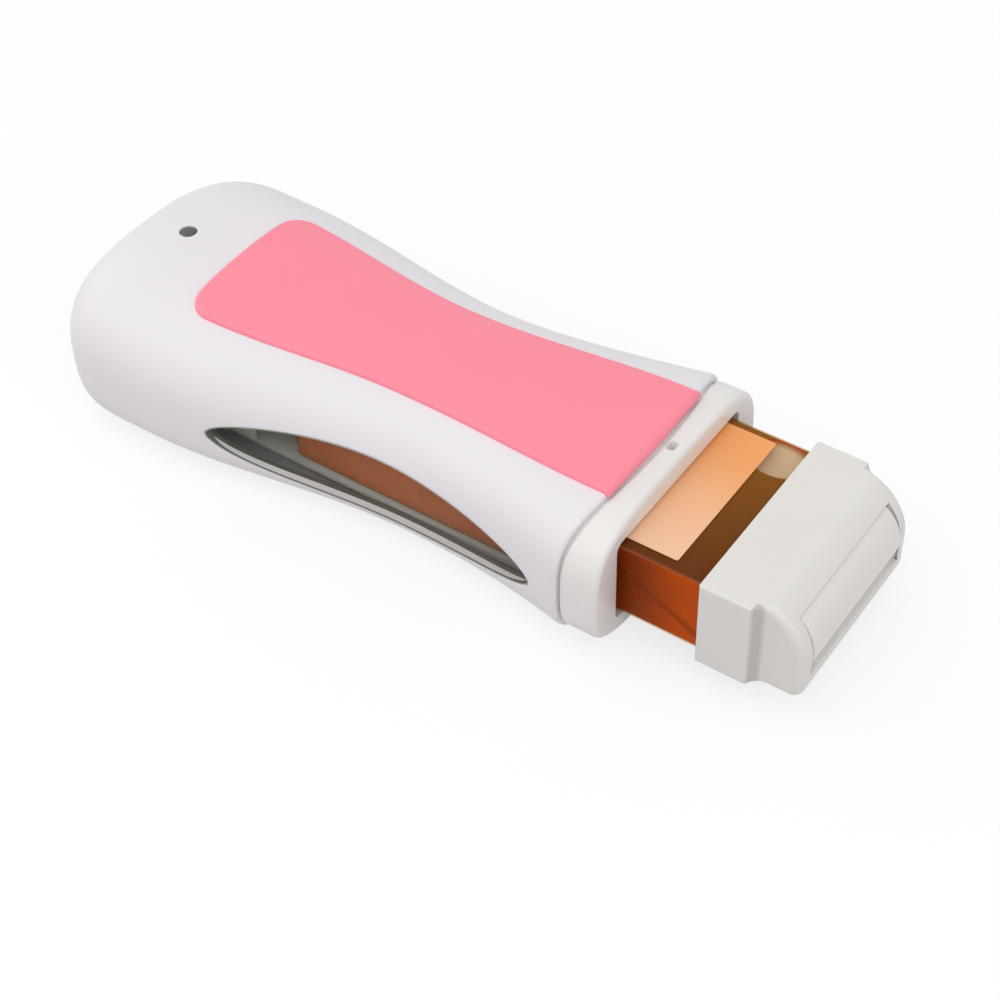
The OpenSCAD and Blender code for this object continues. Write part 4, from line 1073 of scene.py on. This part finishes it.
def edge_round(x):
    """Rounding of the head's side edges: crisp on the block, soft on the arms."""
    return mix(BLOCK_EDGE_R, ARM_EDGE_R, smoothstep((x - BLOCK_L + 1) / 6))


def head_grid(side, inset, y_of, rear=0.0):
    """A side of the head as a grid over its profile; inset and y_of are functions of x."""
    stations = np.concatenate([np.linspace(0, 0.44, 12), np.linspace(0.46, 0.68, 22),
                               0.68 + 0.32 * np.sin(np.linspace(0, np.pi / 2, 30))[1:]])
    v = np.linspace(0, 1, 21)
    rows = []
    for t in stations:
        x = mix(rear, HEAD_L - inset(HEAD_L), t)
        z = mix(head_bottom(x, inset(x)), head_top(x, inset(x)), v)
        y = np.full(len(v), side * float(y_of(x)))
        rows.append(np.stack([np.full(len(v), HEAD_X + x), y, z + AXIS_Z], -1))
    return np.array(rows)


def arm_outside(side, phi):
    """The outer face of an arm and its half of the block, at the angle phi of its rounded edge."""
    turn_in, turn_down = 1 - math.sin(phi), 1 - math.cos(phi)
    return head_grid(side, lambda x: edge_round(x) * turn_in,
                     lambda x: plan_y(x) - edge_round(x) * turn_down, rear=REAR_EDGE_R * turn_in)


def arm_inside(side, phi):
    """The inner face of an arm, which has a rounded edge only beside the roller."""
    turn_in, turn_down = INNER_EDGE_R * (1 - math.sin(phi)), INNER_EDGE_R * (1 - math.cos(phi))
    sharp = head_grid(side, lambda x: 0.0, lambda x: INNER_Y)
    soft = head_grid(side, lambda x: turn_in, lambda x: INNER_Y + INNER_EDGE_R - turn_down)
    share = np.clip((sharp[..., :1] - HEAD_X - 20) / 2, 0, 1)
    return sharp * (1 - share) + soft * share


def arm(shape, side):
    faces = [arm_outside(side, phi) for phi in np.radians([0, 15, 30, 45, 60, 75, 90])]
    faces += [arm_inside(side, phi) for phi in np.radians([90, 60, 30, 0])]
    shape.pillow(faces + [head_grid(side, lambda x: INNER_EDGE_R, lambda x: INNER_Y)])


def arc_points(x, z, r, angles):
    return np.column_stack([x + r * np.cos(angles), z + r * np.sin(angles)])


def cradle_section():
    """The head between its arms, as an outline in X and Z: top, hollow for the roller, toe and underside."""
    lip_x, bore, low = HEAD_L - LIP_BACK, ROLLER_R + ROLLER_GAP, -HEAD_H / 2
    top_x = np.concatenate([np.linspace(0, HEAD_L - NOSE_R, 8), np.linspace(HEAD_L - NOSE_R, lip_x, 26)[1:]])
    start = math.atan2(math.sqrt(bore ** 2 - (lip_x - ROLLER_X) ** 2), lip_x - ROLLER_X)
    end = 2 * math.pi - math.asin(CRADLE_LOW / bore)
    hollow = arc_points(ROLLER_X, ROLLER_Z, bore, np.linspace(start, end, 90))
    toe_z = np.linspace(ROLLER_Z - CRADLE_LOW, low + NOSE_CORNER, 5)
    corner_x, turn = HEAD_L - NOSE_CORNER, np.radians(np.linspace(0, -90, 12))
    corner = arc_points(corner_x, low + NOSE_CORNER, NOSE_CORNER, turn)
    under_x = np.linspace(corner_x, 0, 10)[1:]
    top = np.column_stack([top_x, head_top(top_x, 0)])
    toe = np.column_stack([np.full(len(toe_z), HEAD_L), toe_z])
    under = np.column_stack([under_x, np.full(len(under_x), low)])
    return np.concatenate([top, hollow, toe, corner[1:], under])


def head():
    shape = Shape()
    for side in (-1, 1):
        arm(shape, side)
    section = cradle_section()
    shape.loft([np.column_stack([section[:, 0] + HEAD_X, np.full(len(section), y), section[:, 1] + AXIS_Z])
                for y in np.linspace(-INNER_Y, INNER_Y, 9)])
    sharpen(shape.piece("head", white_head(), "cartridge", "head", replaces=["roller_frame"]), 42)


def roller():
    """The drum with round edges and a pin at each end."""
    edge = [(ROLLER_R - ROLLER_EDGE_R * (1 - math.sin(f)), -ROLLER_HALF_L + ROLLER_EDGE_R * (1 - math.cos(f)))
            for f in np.radians([0, 15, 30, 45, 60, 75, 90])]
    pin = [(0.0, -PIN_END), (PIN_R - 0.3, -PIN_END), (PIN_R, -PIN_END + 0.3), (PIN_R, -ROLLER_HALF_L - 0.1)]
    face = [(PIN_R, -ROLLER_HALF_L), (ROLLER_R - ROLLER_EDGE_R - 1.2, -ROLLER_HALF_L)]
    half = pin + face + edge + [(ROLLER_R, h) for h in (-18, -12, -6, 0)]
    profile = half + [(r, -h) for r, h in half[-2::-1]]
    shape = Shape()
    shape.grid(lathe(profile, 128, "y", (ROLLER_X + HEAD_X, 0, ROLLER_Z + AXIS_Z)), wrap=True)
    sharpen(shape.piece("roller_drum", white_roller(), "roller", "head", replaces=["roller"]), 42)


# ------- bottle, wax and label
def bar(x0, x1, w, h, r, end_r):
    """Rings of a rounded bar along X with a rounded rear end."""
    ends = [(x0 + end_r * (1 - math.cos(f)), end_r * (1 - math.sin(f)))
            for f in np.radians(np.linspace(0, 90, 7))]
    rest = [(x, 0.0) for x in np.linspace(x0 + end_r, x1, 24)[1:]]
    return [standing(rounded_rect(w - 2 * d, h - 2 * d, max(r - d * 0.5, 0.3), 8, per_side=16), x, AXIS_Z)
            for x, d in ends + rest]


def bottle():
    shape = Shape()
    shape.loft(bar(BOTTLE_X, HEAD_X + BOTTLE_SEAT, BOTTLE_W, BOTTLE_H, BOTTLE_ROUND, BOTTLE_END_R))
    sharpen(shape.piece("bottle", clear_amber(), "cartridge", "bottle", replaces=["cartridge_bottle"]), 45)


def bubble_cutter():
    tool = Shape()
    profile = [(max(math.sin(k), 1e-4), -math.cos(k)) for k in np.linspace(0, np.pi, 24)]
    centre = np.array([BUBBLE_X, BUBBLE_Y, BUBBLE_Z])
    tool.grid([ring * BUBBLE_RADII + centre for ring in lathe(profile, 48)], wrap=True)
    return tool.cutter()


def wax():
    shape = Shape()
    w, h = BOTTLE_W - 2 * WAX_INSET, BOTTLE_H - 2 * WAX_INSET
    shape.loft(bar(BOTTLE_X + WAX_REAR, HEAD_X - WAX_FRONT, w, h, WAX_ROUND, WAX_END_R))
    obj = shape.piece("wax", resin_wax(), "cartridge", "wax", replaces=["wax_fill"])
    cut(obj, bubble_cutter())
    sharpen(obj, 45)


def label():
    shape = Shape()
    bottle_top = AXIS_Z + BOTTLE_H / 2
    middle = np.array([HEAD_X - LABEL_BACK - LABEL_L / 2, 0])
    ring = rounded_rect(LABEL_L, LABEL_W, LABEL_CORNER, 6) + middle
    shape.loft([lying(ring, z) for z in (bottle_top - 0.02, bottle_top + LABEL_T)])
    shape.piece("label", printed_label(), "cartridge", "label", replaces=["cartridge_label"], smooth=False)


# ------- carried-over nodes
def dress_inside():
    """Materials of the nodes that are kept as they come."""
    plans = (
        (aluminium(), ("heater_plate",)),
        (ceramic(), ("ptc_heater", "thermal_fuse")),
        (steel(), ("heater_clamp", "heater_screws", "thermostat", "cartridge_spring", "board_screws",
                   "shell_screws")),
        (green_board(), ("circuit_board",)),
        (red_lamp(), ("indicator_led",)),
        (black_socket(), ("power_inlet",)),
        (brass(), ("inlet_pins",)),
        (lead_sleeve(), ("heater_wires", "board_wires")),
    )
    for mat, names in plans:
        for name in names:
            for slot in frame["nodes"][name].material_slots:
                slot.material = mat


# ------- floor, light and camera
def backdrop_rays(nt):
    """1 for rays that show the backdrop: seen straight, mirrored or through a clear piece."""
    path = nt.nodes.new("ShaderNodeLightPath")
    mirrored = maths(nt, "MAXIMUM", path.outputs["Is Camera Ray"], path.outputs["Is Glossy Ray"])
    return maths(nt, "MAXIMUM", mirrored, path.outputs["Is Transmission Ray"])


def floor():
    """A round pale floor, partly of its own light where it shows as the backdrop."""
    radius, own_light = 3.0, 0.55
    mat, nt, shader = fresh("floor")
    shader.inputs["Base Color"].default_value = (0.6, 0.58, 0.6, 1)
    shader.inputs["Roughness"].default_value = 0.9
    shader.inputs["Specular IOR Level"].default_value = 0.0
    glow = node(nt, "ShaderNodeEmission", Strength=1.35)
    share = maths(nt, "MULTIPLY", backdrop_rays(nt), own_light)
    mix_shaders(nt, share, shader, glow, nt.nodes["Material Output"])
    mesh = bpy.data.meshes.new("floor")
    turns = np.linspace(0, 2 * math.pi, 64, endpoint=False)
    rim = [(radius * math.cos(a), radius * math.sin(a), 0) for a in turns]
    mesh.from_pydata(rim, [], [list(range(len(rim)))])
    mesh.materials.append(mat)
    linked("floor", mesh, False)


def world():
    """Soft light from all round, a little stronger from above, and a white backdrop."""
    studio = bpy.data.worlds.new("studio")
    bpy.context.scene.world = studio
    studio.use_nodes = True
    nt = studio.node_tree
    light = nt.nodes["Background"]
    height = split(nt, nt.nodes.new("ShaderNodeTexCoord").outputs["Generated"])["Z"]
    lift = remap(nt, height, -0.05, 0.75, 0, 1, smooth=True)
    nt.links.new(blend_colours(nt, lift, (0.53, 0.52, 0.53), (0.61, 0.6, 0.61)), light.inputs["Color"])
    backdrop = node(nt, "ShaderNodeBackground", Color=(1, 1, 1, 1))
    mix_shaders(nt, backdrop_rays(nt), light, backdrop, nt.nodes["World Output"])


def lamp(name, at, size, level):
    """A soft box in metres; level is the share of full light that it gives a surface facing it."""
    at, target = Vector(at), Vector((0, 0, 0.02))
    data = bpy.data.lights.new(name, "AREA")
    data.shape, data.size, data.size_y = "RECTANGLE", size[0], size[1]
    data.energy = level * math.pi ** 2 * (target - at).length_squared
    obj = bpy.data.objects.new(name, data)
    bpy.context.scene.collection.objects.link(obj)
    obj.location = at
    obj.rotation_mode = "QUATERNION"
    obj.rotation_quaternion = (target - at).to_track_quat("-Z", "Y")


def lamps():
    lamp("top_box", (-0.1, -0.6, 1.2), (1.6, 1.2), 0.31)
    lamp("front_box", (1.05, -0.5, 0.9), (1.5, 1.3), 0.24)
    lamp("rear_box", (-1.3, -0.1, 0.7), (1.6, 1.5), 0.23)


def camera():
    """The photograph's camera, its focal length given in picture widths."""
    azimuth, elevation, roll = math.radians(35.92), math.radians(45.29), math.radians(-1.92)
    place, focal = Vector((0.2455, -0.2923, 0.3613)), 2.0543
    back = Vector((math.sin(azimuth) * math.cos(elevation), -math.cos(azimuth) * math.cos(elevation),
                   math.sin(elevation)))
    right = Vector((math.cos(azimuth), math.sin(azimuth), 0))
    up = back.cross(right)
    turned_right = right * math.cos(roll) + up * math.sin(roll)
    turned_up = up * math.cos(roll) - right * math.sin(roll)
    data = bpy.data.cameras.new("camera")
    data.sensor_width = 36.0
    data.lens = data.sensor_width * focal
    data.clip_start, data.clip_end = 0.01, 20
    obj = bpy.data.objects.new("camera", data)
    pose = Matrix((turned_right, turned_up, back)).transposed().to_4x4()
    pose.translation = place
    obj.matrix_world = pose
    bpy.context.scene.collection.objects.link(obj)
    bpy.context.scene.camera = obj


# ------- the scene
shells()
panel()
panes()
chamber()
head()
roller()
bottle()
wax()
label()
dress_inside()
floor()
world()
lamps()
camera()
bpy.context.scene.view_settings.view_transform = "Standard"
